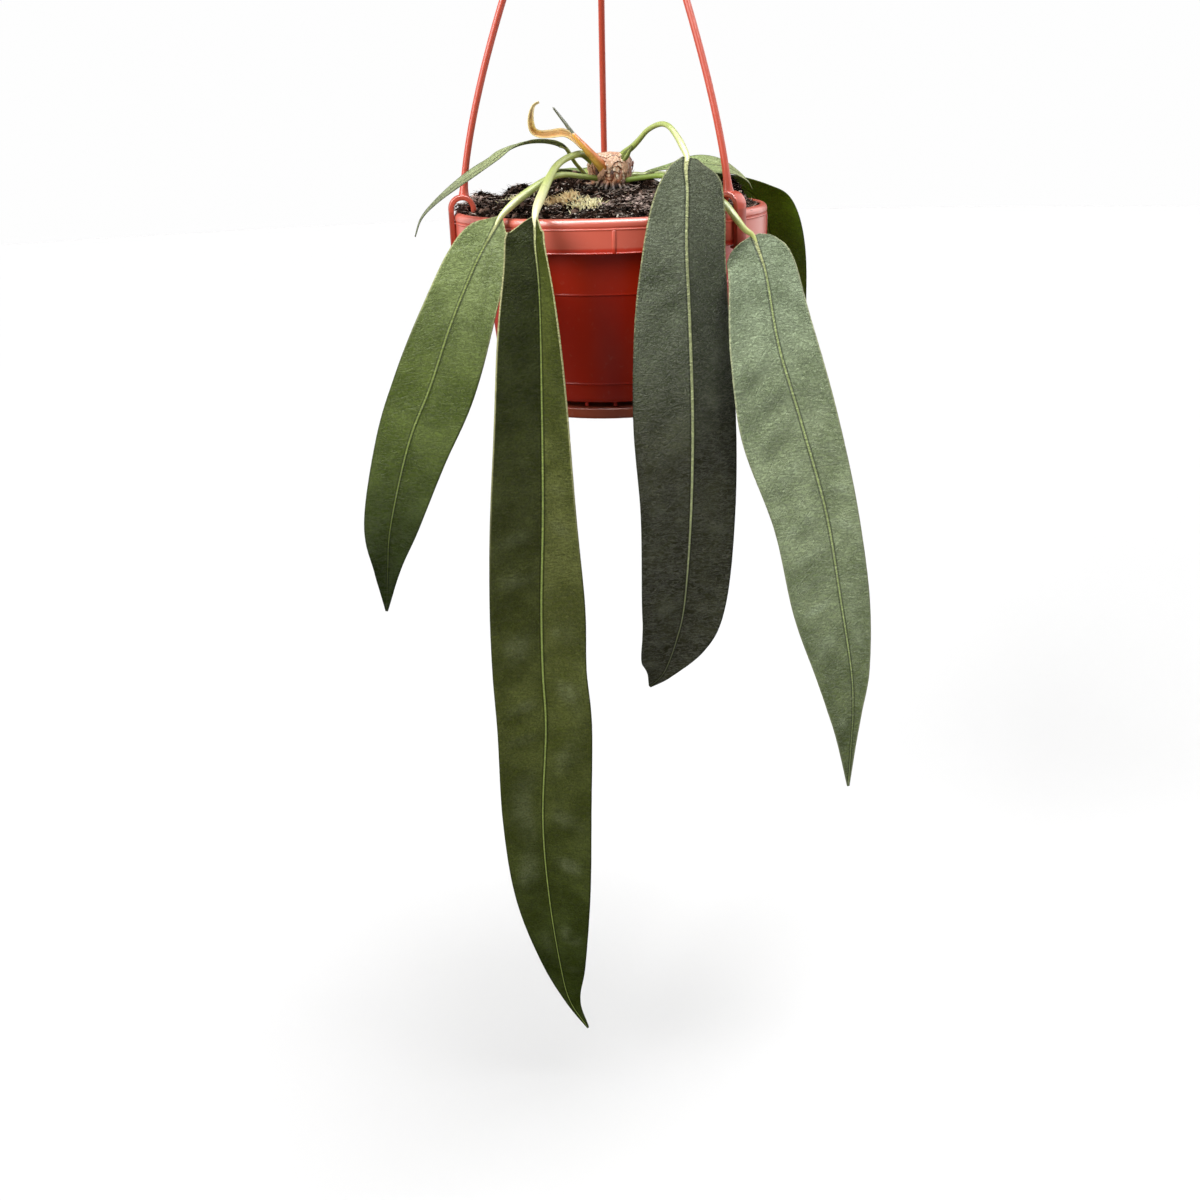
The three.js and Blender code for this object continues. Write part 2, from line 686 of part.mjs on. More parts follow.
    rows: [
      [-12, 22, 15, 1, 1, 180, 0, 0],
      [-15, 34, 16, 5, 6, 180, 0, 4],
      [-18, 50, 13, 8, 9, 180, 0, 6],
      [-21, 68, 6.5, 10, 10, 180, 0, 6],
      [-24, 84, -8, 11.5, 11.5, 180, 0, 6],
      [-30, 92, -40, 14, 14, 180, 0, 6],
      [-39, 93, -95, 15, 15, 175, 0, 4],
      [-44, 90, -150, 13, 13, 172, 0, 4],
      [-46, 86, -200, 8, 8, 170, 0, 6],
      [-47, 83, -230, 0.6, 0.6, 170, 0, 8],
    ],
    wave: { height: 0.9, count: 3, phase: 1 },
    petiole: [
      [-3, 3, 11],
      [-8, 12, 13.6],
      [-11, 18, 14.8],
    ],
    radii: [1.5, 1.3, 1.5],
  },
  {
    name: 'leaf_7',
    colour: 0x9cab78,
    rows: [
      [16, 8, 13.2, 1, 1, 115, 0, 0],
      [22, 11, 15.2, 5, 5, 115, 2, 0],
      [33, 16, 16.5, 9, 7.5, 113, 8, 2],
      [45, 20, 17, 12, 9.5, 108, 18, 2],
      [56, 23.5, 15.5, 11, 9, 100, 20, 2],
      [64, 25, 11.8, 7, 7, 95, 14, 2],
      [69, 25.5, 7.8, 2.5, 2.5, 90, 5, 0],
      [71, 24.5, 4, 0.6, 0.6, 90, 0, 0],
    ],
    wave: { height: 0.5, count: 2, phase: 0 },
    petiole: [
      [4, 1, 12],
      [8, 4, 13],
      [12, 6, 13.6],
    ],
    radii: [1.5, 1.3, 1.4],
  },
  {
    name: 'leaf_8',
    colour: 0x47511a,
    rows: [
      [32, 30, 11.8, 1, 1, 130, 0, 0],
      [42, 38, 11.2, 8, 8, 130, 0, 4],
      [56, 50, 9.2, 16, 13.5, 130, 0, 4],
      [70, 62, 3.2, 21, 16, 130, 0, 2],
      [81, 69, -7.5, 22.5, 18, 130, 0, 2],
      [88, 74, -32, 23, 19, 130, 0, 2],
      [92, 77, -71, 20.5, 19, 130, 0, 2],
      [95, 77, -110, 17, 17, 130, 0, 4],
      [97, 75, -145, 10, 10, 132, 0, 6],
      [99, 73, -170, 0.6, 0.6, 134, 0, 8],
    ],
    wave: { height: 0.8, count: 2.5, phase: 0.8 },
    petiole: [
      [3, 3, 11.5],
      [12, 13, 12.2],
      [22, 21, 12.6],
    ],
    radii: [1.8, 1.6, 1.7],
  },
];

// The petiole runs on under the blade's foot, so the two grow into each other.
function makeLeaf(leaf) {
  const blade = new Blade(leaf.rows, leaf.wave);
  const points = leaf.petiole.map((row) => point(...row));
  points.push(blade.midrib.getPoint(0));
  const { face } = blade.frame(0.05);
  points.push(blade.midrib.getPoint(0.05).addScaledVector(face, -0.5));
  const radii = [...leaf.radii, leaf.radii[leaf.radii.length - 1] * 0.5];
  const petiole = stem(points, radii, 2 * points.length + 2);
  return solid(blade.geometry(LEAF_THICK, MIDRIB_RISE, MIDRIB_KEEL)).add(solid(petiole));
}

// Shoot on the stem's left: a live sheath, the rolled new leaf that stands out of it, and a dry sheath
// that has curled away beside it.
const SHEATH_POINTS = [
  point(-2, -5, 16.5),
  point(-4.2, -10, 19.6),
  point(-8.7, -12, 24.7),
  point(-16.3, -13, 33.3),
];
const SHEATH_RADII = [2.8, 2.5, 2.1, 1.3];
const SHEATH_STEPS = 12;
const NEW_LEAF_POINTS = [point(-14.8, -12.8, 31.6), point(-20.3, -13, 38.8), point(-24.8, -13, 44.6)];
const NEW_LEAF_RADII = [1, 0.9, 0.5];
const NEW_LEAF_STEPS = 8;
const DRIED_THICK = 0.8;
const DRIED_ROWS = [
  [-12.5, -13.5, 27, 1, 1, -70, -60, 10],
  [-16.4, -14, 30.7, 1.8, 1.8, -70, -60, 20],
  [-20.9, -15, 33, 2.4, 2.4, -75, -60, 25],
  [-26.4, -17, 32.6, 2.5, 2.5, -80, -60, 25],
  [-31.3, -19, 32.8, 2.3, 2.3, -85, -60, 25],
  [-34.6, -20, 34.8, 1.9, 1.9, -90, -60, 25],
  [-35.5, -21, 38.6, 1.6, 1.6, -90, -60, 25],
  [-34.9, -21, 43, 1.1, 1.1, -90, -60, 20],
  [-33.4, -20, 46.3, 0.7, 0.7, -90, -60, 10],
  [-31.1, -19, 47.5, 0.5, 0.5, -90, -60, 0],
];

const rhizome = solid(rhizomeGeometry());
const rhizomeRoom = solid(rhizomeGeometry(GAP));
const sheathRoom = solid(stem(SHEATH_POINTS, SHEATH_RADII, SHEATH_STEPS, GAP));
const liveSheath = solid(stem(SHEATH_POINTS, SHEATH_RADII, SHEATH_STEPS)).subtract(rhizomeRoom);
const newLeaf = solid(stem(NEW_LEAF_POINTS, NEW_LEAF_RADII, NEW_LEAF_STEPS)).subtract(sheathRoom);
const dryBlade = new Blade(DRIED_ROWS, { height: 0.3, count: 2, phase: 0 });
const dryStrip = solid(dryBlade.geometry(DRIED_THICK, 0, 0));
const driedSheath = dryStrip.subtract(sheathRoom).subtract(rhizomeRoom);
const clipRooms = ARM_ANGLES.map((angle) => solid(clipGeometry(GAP).rotateZ(angle * DEGREE)));

addPiece('pot', makePot(), POT_COLOUR, PLASTIC_ROUGHNESS);
addPiece('saucer', makeSaucer(), SAUCER_COLOUR, PLASTIC_ROUGHNESS);
addPiece('hanger', makeHanger(), HANGER_COLOUR, PLASTIC_ROUGHNESS);
addPiece('soil', makeSoil([rhizomeRoom, ...clipRooms]), SOIL_COLOUR, 1);
addPiece('rhizome', rhizome, RHIZOME_COLOUR, 0.85);
addPiece('live_sheath', liveSheath, LIVE_SHEATH_COLOUR, 0.6);
addPiece('dried_sheath', driedSheath, DRIED_SHEATH_COLOUR, 0.8);
addPiece('new_leaf', newLeaf, NEW_LEAF_COLOUR, 0.6);
for (const leaf of LEAVES) {
  addPiece(leaf.name, makeLeaf(leaf).subtract(rhizomeRoom), leaf.colour, LEAF_ROUGHNESS);
}

export default part;
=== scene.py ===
# A strap-leaved anthurium in a small hanging pot, in metres, +Z up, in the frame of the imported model.
# Shapes are given in millimetres from the middle of the pot's rim, at the height of the rim's top.

import math
import random

import bpy
import numpy as np
from mathutils import Matrix, Vector, noise


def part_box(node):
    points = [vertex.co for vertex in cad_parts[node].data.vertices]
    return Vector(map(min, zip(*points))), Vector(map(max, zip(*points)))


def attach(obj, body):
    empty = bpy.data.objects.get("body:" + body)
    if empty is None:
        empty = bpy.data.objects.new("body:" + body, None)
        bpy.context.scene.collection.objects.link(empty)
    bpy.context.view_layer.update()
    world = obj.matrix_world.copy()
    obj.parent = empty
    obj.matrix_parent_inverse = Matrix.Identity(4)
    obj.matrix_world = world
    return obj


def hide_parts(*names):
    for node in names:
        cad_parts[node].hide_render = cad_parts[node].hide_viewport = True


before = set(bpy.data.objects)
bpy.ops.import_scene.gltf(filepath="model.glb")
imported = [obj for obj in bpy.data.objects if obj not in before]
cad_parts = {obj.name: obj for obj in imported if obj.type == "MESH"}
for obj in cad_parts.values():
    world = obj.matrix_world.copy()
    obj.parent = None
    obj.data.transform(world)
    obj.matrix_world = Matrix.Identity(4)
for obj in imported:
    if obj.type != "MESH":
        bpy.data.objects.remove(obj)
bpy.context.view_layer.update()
scene = bpy.context.scene


# The studio: a pale floor under the hanging plant, soft white light from all round, a broad soft lamp
# above and the camera at the photograph's angle. None of it belongs to the plant.
MM = 0.001
RIM_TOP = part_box("pot")[1].z
CAMERA_DISTANCE = 0.640
CAMERA_HEIGHT = 0.0445
CAMERA_PITCH = math.radians(21.2)
CAMERA_YAW = math.radians(1.0)
CAMERA_ROLL = math.radians(1.9)
CAMERA_LENS = 38.1
FLOOR_BELOW_RIM = 0.456
FLOOR_RADIUS = 6.0
FLOOR_SIDES = 64
SKY_LIGHT = 0.25
SKY_SEEN_MORE = 0.74
SKY_IN_GLOSS_MORE = -0.2


def tone(red, green, blue):
    """A colour in linear light, from the numbers 0 to 255 of a colour card."""
    parts = [value / 255 for value in (red, green, blue)]
    return (*(v / 12.92 if v <= 0.04045 else ((v + 0.055) / 1.055) ** 2.4 for v in parts), 1.0)


def add_node(tree, kind, feeds=None, **settings):
    """A node with its settings, and its sockets set to values or fed by other sockets."""
    node = tree.nodes.new(kind)
    for label, value in settings.items():
        setattr(node, label, value)
    for label, value in (feeds or {}).items():
        if isinstance(label, str):
            socket = next(s for s in node.inputs if s.name == label and s.enabled)
        else:
            socket = node.inputs[label]
        if isinstance(value, bpy.types.NodeSocket):
            tree.links.new(value, socket)
        else:
            socket.default_value = value
    return node


def figure(tree, operation, *values):
    """The result of a sum on one to three numbers or sockets."""
    return add_node(tree, "ShaderNodeMath", dict(enumerate(values)), operation=operation).outputs[0]


def times(tree, first, second):
    """The product of two numbers or sockets."""
    return figure(tree, "MULTIPLY", first, second)


def ramped(tree, value, low, high, start=0.0, end=1.0):
    """A number that goes smoothly from start to end while the value goes from low to high."""
    feeds = {"Value": value, "From Min": low, "From Max": high, "To Min": start, "To Max": end}
    node = add_node(tree, "ShaderNodeMapRange", feeds, interpolation_type="SMOOTHSTEP")
    return node.outputs[0]


def blended(tree, share, first, second, way="MIX"):
    """Two colours mixed by a share from 0 to 1."""
    feeds = {"Factor": share, "A": first, "B": second}
    node = add_node(tree, "ShaderNodeMix", feeds, data_type="RGBA", blend_type=way)
    return node.outputs[2]


def new_skin(name, **plain):
    """A material with its shader, whose plain values are set on the shader's own sockets."""
    skin = bpy.data.materials.new(name)
    skin.use_nodes = True
    tree = skin.node_tree
    tree.nodes.clear()
    feeds = {label.replace("_", " "): value for label, value in plain.items()}
    shader = add_node(tree, "ShaderNodeBsdfPrincipled", feeds)
    add_node(tree, "ShaderNodeOutputMaterial", {"Surface": shader.outputs[0]})
    return skin, tree, shader


def feed(tree, shader, **sources):
    """Links sockets to the shader."""
    for label, source in sources.items():
        tree.links.new(source, shader.inputs[label.replace("_", " ")])


def add_lamp(name, kind, place, power, aim=(0, 0, 0), on_matt=True, **form):
    """A lamp at a place in metres from the middle of the rim, turned towards another."""
    lamp = bpy.data.lights.new(name, kind)
    lamp.energy = power
    for label, value in form.items():
        setattr(lamp, label, value)
    holder = bpy.data.objects.new(name, lamp)
    holder.location = Vector(place) + Vector((0, 0, RIM_TOP))
    holder.rotation_euler = (Vector(aim) - Vector(place)).to_track_quat("-Z", "Y").to_euler()
    holder.visible_diffuse = on_matt
    scene.collection.objects.link(holder)


forward = Vector((
    -math.sin(CAMERA_YAW) * math.cos(CAMERA_PITCH),
    math.cos(CAMERA_YAW) * math.cos(CAMERA_PITCH),
    -math.sin(CAMERA_PITCH),
))
level_right = Vector((math.cos(CAMERA_YAW), math.sin(CAMERA_YAW), 0))
level_up = level_right.cross(forward)
camera_right = math.cos(CAMERA_ROLL) * level_right - math.sin(CAMERA_ROLL) * level_up
camera_up = math.cos(CAMERA_ROLL) * level_up + math.sin(CAMERA_ROLL) * level_right
lens = bpy.data.cameras.new("camera")
lens.lens = CAMERA_LENS
lens.sensor_width = 36
lens.clip_start = 0.01
camera = bpy.data.objects.new("camera", lens)
turn = Matrix((camera_right, camera_up, -forward)).transposed().to_4x4()
camera.matrix_world = Matrix.Translation((0, -CAMERA_DISTANCE, RIM_TOP + CAMERA_HEIGHT)) @ turn
scene.collection.objects.link(camera)
scene.camera = camera

surround = bpy.data.worlds.new("surround")
surround.use_nodes = True
surround.node_tree.nodes.clear()
sight = add_node(surround.node_tree, "ShaderNodeLightPath")
glow = figure(surround.node_tree, "MULTIPLY_ADD", sight.outputs["Is Camera Ray"], SKY_SEEN_MORE, SKY_LIGHT)
glow = figure(surround.node_tree, "MULTIPLY_ADD", sight.outputs["Is Glossy Ray"], SKY_IN_GLOSS_MORE, glow)
backdrop = add_node(surround.node_tree, "ShaderNodeBackground", {"Color": (1, 1, 1, 1), "Strength": glow})
add_node(surround.node_tree, "ShaderNodeOutputWorld", {"Surface": backdrop.outputs[0]})
scene.world = surround
scene.view_settings.view_transform = "Standard"
scene.view_settings.look = "None"

add_lamp("overhead", "SUN", (0.13, 0.05, 1.0), 1.5, angle=math.radians(30))
add_lamp("left_key", "SUN", (-1.2, -0.9, 0.75), 3.3, angle=math.radians(42))
add_lamp("right_panel", "AREA", (0.75, -0.35, 0.1), 2.0, shape="RECTANGLE", size=0.35, size_y=0.7)
add_lamp("back_right", "SUN", (1.0, 0.6, 0.7), 0.8, angle=math.radians(50))
add_lamp("ceiling_gloss", "AREA", (-0.2, -0.5, 1.2), 190.0, aim=(-0.2, -0.3, 0), on_matt=False,
         shape="RECTANGLE", size=2.8, size_y=0.9)
add_lamp("right_gloss", "AREA", (1.0, 0.75, 0.2), 5.0, on_matt=False, shape="SQUARE", size=0.9)
add_lamp("left_gloss", "AREA", (-1.0, 0.75, 0.2), 3.0, on_matt=False, shape="SQUARE", size=0.9)

floor_skin, tree, shader = new_skin(
    "floor_white", Roughness=0.9, Specular_IOR_Level=0.0, Emission_Color=(1, 1, 1, 1),
    Emission_Strength=0.04)
grain = add_node(tree, "ShaderNodeTexNoise", {"Scale": 3.0, "Detail": 2.0})
paint = blended(tree, grain.outputs["Fac"], (0.725, 0.725, 0.725, 1), (0.735, 0.735, 0.735, 1))
feed(tree, shader, Base_Color=paint)
floor_mesh = bpy.data.meshes.new("floor")
floor_ring = [math.tau * k / FLOOR_SIDES for k in range(FLOOR_SIDES)]
floor_points = [(FLOOR_RADIUS * math.cos(a), FLOOR_RADIUS * math.sin(a), RIM_TOP - FLOOR_BELOW_RIM)
                for a in floor_ring]
floor_mesh.from_pydata(floor_points, [], [list(range(FLOOR_SIDES))])
floor_mesh.materials.append(floor_skin)
floor = bpy.data.objects.new("floor", floor_mesh)
floor.visible_glossy = False
floor.visible_diffuse = False
scene.collection.objects.link(floor)


# Pot: one thin moulded shell of terracotta-coloured plastic. The rim is a banded skirt with a rolled lip
# and thin ribs, and the wall steps in by a hair at two lines above a rounded foot with short pegs.
POT_SIDES = 180
RIB_COUNT = 9
FIRST_RIB = math.radians(-89)
RIB_SIZE = (1.7, 1.5, 9.6)
RIB_PLACE = (74.5, -9.75)
PEG_COUNT = 24
PEG_SIZE = (1.4, 1.6, 2.7)
PEG_PLACE = (51.4, -84.95)
DRAIN_COUNT = 6
DRAIN_RADIUS = 3.5
DRAIN_CIRCLE = 34
DRILL_LOW_Z, DRILL_HIGH_Z = -90, -78
POT_OUTLINE = [
    (0, -84.2, 0), (54.9, -84.2, 2.6), (56.45, -75.4, 0.15), (57.12, -75.15, 0.15),
    (57.12, -74.85, 0.15), (57.0, -74.4, 0.2), (60.7, -34.4, 0.15),
    (61.3, -34.15, 0.15), (61.3, -33.85, 0.15), (61.2, -33.4, 0.2), (63, -11.7, 0.8), (73.3, -11.7, 0.3),
    (73.3, -14.8, 0.3), (75.1, -14.8, 0.2), (75.2, -14.5, 0.2), (75.0, -14.1, 0.3),
    (74.8, -5.0, 0.3), (75.2, -4.75, 0.25), (75.1, -4.3, 0.2), (74.5, -4.0, 0.25), (75.15, -3.5, 0.7),
    (75.2, -2.6, 0.5), (75.11, -1.93, 0.4),
    (74.85, -1.3, 0.4), (74.44, -0.76, 0.4), (73.9, -0.35, 0.4), (73.27, -0.09, 0.4), (72.6, 0, 0.3),
    (72.1, -0.5, 0.3), (72.1, -10.3, 0.6), (61.6, -10.3, 0.5),
    (52.6, -82.8, 2.0), (0, -82.8, 0),
]


def rounded_outline(corners, steps=4):
    """An outline with rounded corners. Each corner is a radius, a height and the rounding there."""
    spots = [np.array(corner[:2], float) for corner in corners]
    outline = [spots[0]]
    for before, corner, after in zip(spots, corners[1:], spots[2:]):
        spot, rounding = np.array(corner[:2], float), corner[2]
        edges = [before - spot, after - spot]
        sizes = [np.linalg.norm(edge) for edge in edges]
        ways = [edge / size for edge, size in zip(edges, sizes)]
        bend = math.acos(max(-1.0, min(1.0, -float(ways[0] @ ways[1]))))
        cut = min(rounding * math.tan(bend / 2), 0.45 * min(sizes))
        holds = [min(cut + 0.35, 0.48 * size) for size in sizes]
        outline.append(spot + holds[0] * ways[0])
        for u in (step / steps for step in range(steps + 1)):
            near, far = spot + cut * ways[0], spot + cut * ways[1]
            outline.append((1 - u) ** 2 * near + 2 * u * (1 - u) * spot + u ** 2 * far)
        outline.append(spot + holds[1] * ways[1])
    return outline + [spots[-1]]


def closed_piece(name, points, faces, skin, marks=None):
    """A smooth closed piece with its faces turned outwards. Marks are numbers kept on its points."""
    points = np.asarray(points, float)
    volume = 0.0
    for group in faces:
        for k in range(1, group.shape[1] - 1):
            a, b, c = (points[group[:, j]] for j in (0, k, k + 1))
            volume += float(np.sum(a * np.cross(b, c)))
    if volume < 0:
        faces = [group[:, ::-1] for group in faces]
    mesh = bpy.data.meshes.new(name)
    mesh.from_pydata(points.tolist(), [], [face for group in faces for face in group.tolist()])
    for label, values in (marks or {}).items():
        layer = mesh.attributes.new(label, "FLOAT", "POINT")
        layer.data.foreach_set("value", np.asarray(values, np.float32).ravel())
    mesh.shade_smooth()
    mesh.materials.append(skin)
    piece = bpy.data.objects.new(name, mesh)
    scene.collection.objects.link(piece)
    return piece


def tube_faces(rings, sides):
    """Faces of a tube of rings, closed at both ends on two points that come after those of its rings."""
    index = np.arange(rings * sides).reshape(rings, sides)
    beside = np.roll(index, -1, axis=1)
    walls = np.stack([index[:-1], beside[:-1], beside[1:], index[1:]], axis=-1).reshape(-1, 4)
    start = np.stack([beside[0], index[0], np.full(sides, rings * sides)], axis=-1)
    end = np.stack([index[-1], beside[-1], np.full(sides, rings * sides + 1)], axis=-1)
    return [walls, start, end]


def turned(name, outline, sides, skin):
    """A closed round body from an outline of radii and heights that starts and ends on the axis."""
    outline = np.array(outline) * MM
    angles = np.linspace(0, math.tau, sides, endpoint=False)
    rings = outline[1:-1]
    round_points = np.stack([
        rings[:, :1] * np.cos(angles), rings[:, :1] * np.sin(angles),
        np.repeat(rings[:, 1:], sides, axis=1)], axis=-1).reshape(-1, 3)
    poles = np.array([(0, 0, outline[0][1]), (0, 0, outline[-1][1])])
    points = np.concatenate([round_points, poles]) + (0, 0, RIM_TOP)
    return closed_piece(name, points, tube_faces(len(rings), sides), skin)


def settle(piece, slot, *nodes):
    """Fixes a finished piece to the plant's one body and hides the nodes it stands for. Its finish is not
    used.
    """
    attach(piece, "root")
    if nodes:
        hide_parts(*nodes)
    return piece


def as_made(piece):
    """The piece's shape with all its modifiers, as a plain mesh."""
    ready = bpy.context.evaluated_depsgraph_get()
    made = bpy.data.meshes.new_from_object(
        piece.evaluated_get(ready), preserve_all_data_layers=True, depsgraph=ready)
    made.name = piece.name
    piece.modifiers.clear()
    piece.data = made
    return piece


def grow(name, carrier, tree, **inputs):
    """A plain piece made by a tree of geometry nodes from a carrier mesh."""
    piece = bpy.data.objects.new(name, carrier)
    scene.collection.objects.link(piece)
    step = piece.modifiers.new("grow", "NODES")
    step.node_group = tree
    for item in tree.interface.items_tree:
        label = item.name.replace(" ", "_")
        if item.in_out == "INPUT" and label in inputs:
            step[item.identifier] = inputs[label]
    return as_made(piece)


def new_tree(name, sockets, result):
    """An empty tree of geometry nodes with named inputs and one output."""
    tree = bpy.data.node_groups.new(name, "GeometryNodeTree")
    for label, kind in sockets:
        tree.interface.new_socket(label, in_out="INPUT", socket_type="NodeSocket" + kind)
    tree.interface.new_socket(result, in_out="OUTPUT", socket_type="NodeSocketGeometry")
    return tree, tree.nodes.new("NodeGroupInput").outputs


def close_tree(tree, shapes, skin):
    """Ends a tree with real geometry in its material."""
    real = add_node(tree, "GeometryNodeRealizeInstances", {"Geometry": shapes})
    dressed = add_node(tree, "GeometryNodeSetMaterial", {"Geometry": real.outputs[0], "Material": skin})
    add_node(tree, "NodeGroupOutput", {0: dressed.outputs[0]})


ring_tree, given = new_tree("ring_of_shapes", [
    ("Bed", "Geometry"), ("Shape", "Object"), ("Count", "Int"), ("First angle", "Float"),
    ("Skin", "Material")], "Ring")
spots = add_node(ring_tree, "GeometryNodePoints", {"Count": given["Count"]})
shape = add_node(ring_tree, "GeometryNodeObjectInfo", {"Object": given["Shape"]})
order = add_node(ring_tree, "GeometryNodeInputIndex")
pitch = figure(ring_tree, "DIVIDE", math.tau, given["Count"])
angle = figure(ring_tree, "MULTIPLY_ADD", order.outputs[0], pitch, given["First angle"])
facing = add_node(ring_tree, "ShaderNodeCombineXYZ", {"Z": angle})
copies = add_node(ring_tree, "GeometryNodeInstanceOnPoints", {
    "Points": spots.outputs[0], "Instance": shape.outputs["Geometry"], "Rotation": facing.outputs[0]})
close_tree(ring_tree, copies.outputs[0], given["Skin"])


def bar(size, radius, height, rounding, skin):
    """One small block with rounded edges, at a radius and height on the pot."""
    mesh = bpy.data.meshes.new("bar")
    half = [0.5 * MM * side for side in size]
    points = [(x * half[0] + radius * MM, y * half[1], z * half[2] + height * MM + RIM_TOP)
              for x in (-1, 1) for y in (-1, 1) for z in (-1, 1)]
    faces = [(0, 1, 3, 2), (4, 6, 7, 5), (0, 4, 5, 1), (2, 3, 7, 6), (0, 2, 6, 4), (1, 5, 7, 3)]
    mesh.from_pydata(points, [], faces)
    mesh.materials.append(skin)
    block = bpy.data.objects.new("bar", mesh)
    scene.collection.objects.link(block)
    edge = block.modifiers.new("edge", "BEVEL")
    edge.width = rounding * MM
    edge.segments = 2
    as_made(block)
    block.data.shade_smooth()
    return block


def ring_of(name, block, count, first, skin):
    """A ring of copies of one block round the pot's axis. The single block is then taken away."""
    bed = bpy.data.meshes.new(name)
    piece = grow(name, bed, ring_tree, Shape=block, Count=count, First_angle=first, Skin=skin)
    bpy.data.objects.remove(block)
    return piece


def new_group(name, sockets, results):
    """A shader group with named inputs and outputs."""
    group = bpy.data.node_groups.new(name, "ShaderNodeTree")
    for label, kind, value in sockets:
        socket = group.interface.new_socket(label, in_out="INPUT", socket_type="NodeSocket" + kind)
        if value is not None:
            socket.default_value = value
    for label in results:
        group.interface.new_socket(label, in_out="OUTPUT", socket_type="NodeSocketFloat")
    return group, group.nodes.new("NodeGroupInput").outputs, group.nodes.new("NodeGroupOutput").inputs


def own_place(tree):
    """Where a point lies in the piece's own metres."""
    return add_node(tree, "ShaderNodeTexCoord").outputs["Object"]


def mark(tree, label):
    """A number kept on the piece's points."""
    return add_node(tree, "ShaderNodeAttribute", attribute_name=label).outputs["Fac"]


def cloudy(tree, place, scale, detail, **more):
    """A soft random pattern over a place, about 0.5 in the middle."""
    feeds = {"Vector": place, "Scale": scale, "Detail": detail, **more}
    return add_node(tree, "ShaderNodeTexNoise", feeds).outputs["Fac"]


def bumped(tree, height, strength, distance):
    """The surface's facing, tilted by a fine relief."""
    feeds = {"Strength": strength, "Distance": distance, "Height": height}
    return add_node(tree, "ShaderNodeBump", feeds).outputs[0]


moulded, given, results = new_group("moulded_surface", [
    ("Place", "Vector", None), ("Dust", "Float", 0.5)], ["Height", "Haze"])
waves = cloudy(moulded, given["Place"], 55.0, 2.0)
pores = cloudy(moulded, given["Place"], 1500.0, 2.0)
specks = cloudy(moulded, given["Place"], 420.0, 3.0)
film = cloudy(moulded, given["Place"], 38.0, 4.0)
relief = figure(moulded, "MULTIPLY_ADD", pores, 0.12, waves)
moulded.links.new(relief, results["Height"])
grit = ramped(moulded, specks, 0.62, 0.74)
bloom = ramped(moulded, film, 0.42, 0.75)
haze = times(moulded, figure(moulded, "MULTIPLY_ADD", bloom, 0.5, grit), given["Dust"])
moulded.links.new(haze, results["Haze"])


def plastic(name, colours, heights, dust, roughness):
    """Moulded plastic whose colour goes through a few tones from the foot up, with dust in places."""
    skin, tree, shader = new_skin(name, IOR=1.5)
    place = own_place(tree)
    surface = add_node(tree, "ShaderNodeGroup", {"Place": place, "Dust": dust}, node_tree=moulded)
    level = add_node(tree, "ShaderNodeSeparateXYZ", {"Vector": place}).outputs["Z"]
    colour = colours[0]
    for height, above in zip(heights, colours[1:]):
        share = ramped(tree, level, RIM_TOP + (height - 0.6) * MM, RIM_TOP + (height + 0.6) * MM)
        colour = blended(tree, share, colour, above)
    dusty = blended(tree, surface.outputs["Haze"], colour, tone(214, 178, 160))
    rough = figure(tree, "MULTIPLY_ADD", surface.outputs["Haze"], 0.35, roughness)
    bump = bumped(tree, surface.outputs["Height"], 0.25, 0.0006)
    feed(tree, shader, Base_Color=dusty, Roughness=rough, Normal=bump)
    return skin


# The body below the rim band is painted far darker than the band, as painted shade under the rim and the
# leaves, and darker again below its upper step line; the lip is a little pinker, a painted highlight.
pot_skin = plastic(
    "terracotta_plastic", [tone(182, 33, 4), tone(200, 42, 8), tone(215, 98, 76), tone(214, 104, 84)],
    [-34.2, -12.6, -2.6], dust=0.05, roughness=0.31)
pot = turned("pot_shell", rounded_outline(POT_OUTLINE), POT_SIDES, pot_skin)
drill_wall = [(DRAIN_RADIUS, DRILL_LOW_Z), (DRAIN_RADIUS, DRILL_HIGH_Z)]
drill = turned("drill", [(0, DRILL_LOW_Z), *drill_wall, (0, DRILL_HIGH_Z)], 20, pot_skin)
drill.data.transform(Matrix.Translation((DRAIN_CIRCLE * MM, 0, 0)))
drills = ring_of("drills", drill, DRAIN_COUNT, 0.0, pot_skin)
cut = pot.modifiers.new("drains", "BOOLEAN")
cut.object = drills
cut.solver = "EXACT"
as_made(pot)
bpy.data.objects.remove(drills)
settle(pot, "pot_plastic", "pot")
ribs = ring_of("band_ribs", bar(RIB_SIZE, *RIB_PLACE, 0.3, pot_skin), RIB_COUNT, FIRST_RIB, pot_skin)
settle(ribs, "pot_plastic", "pot")
pegs = ring_of("foot_pegs", bar(PEG_SIZE, *PEG_PLACE, 0.2, pot_skin), PEG_COUNT, 0.0, pot_skin)
settle(pegs, "pot_plastic", "pot")


# Saucer: a shallow tray of the same plastic in a darker, duller and dustier tone, darker again at its base,
# clipped under the foot.
# Its wall turns in to a flat ledge under the pegs.
SAUCER_OUTLINE = [
    (0, -91.6, 0), (40.2, -91.6, 0.2), (40.6, -91.25, 0.2), (42.4, -91.25, 0.2), (42.8, -91.6, 0.2),
    (55.3, -91.6, 1.1), (56.3, -86.6, 0.5), (50.9, -86.6, 0.4), (50.3, -90.2, 0.6), (0, -90.2, 0),
]
saucer_skin = plastic("saucer_plastic", [tone(156, 64, 34), tone(176, 76, 44)], [-90.5], dust=0.2,
                       roughness=0.34)
saucer = turned("saucer_tray", rounded_outline(SAUCER_OUTLINE), POT_SIDES, saucer_skin)
settle(saucer, "saucer_plastic", "saucer")


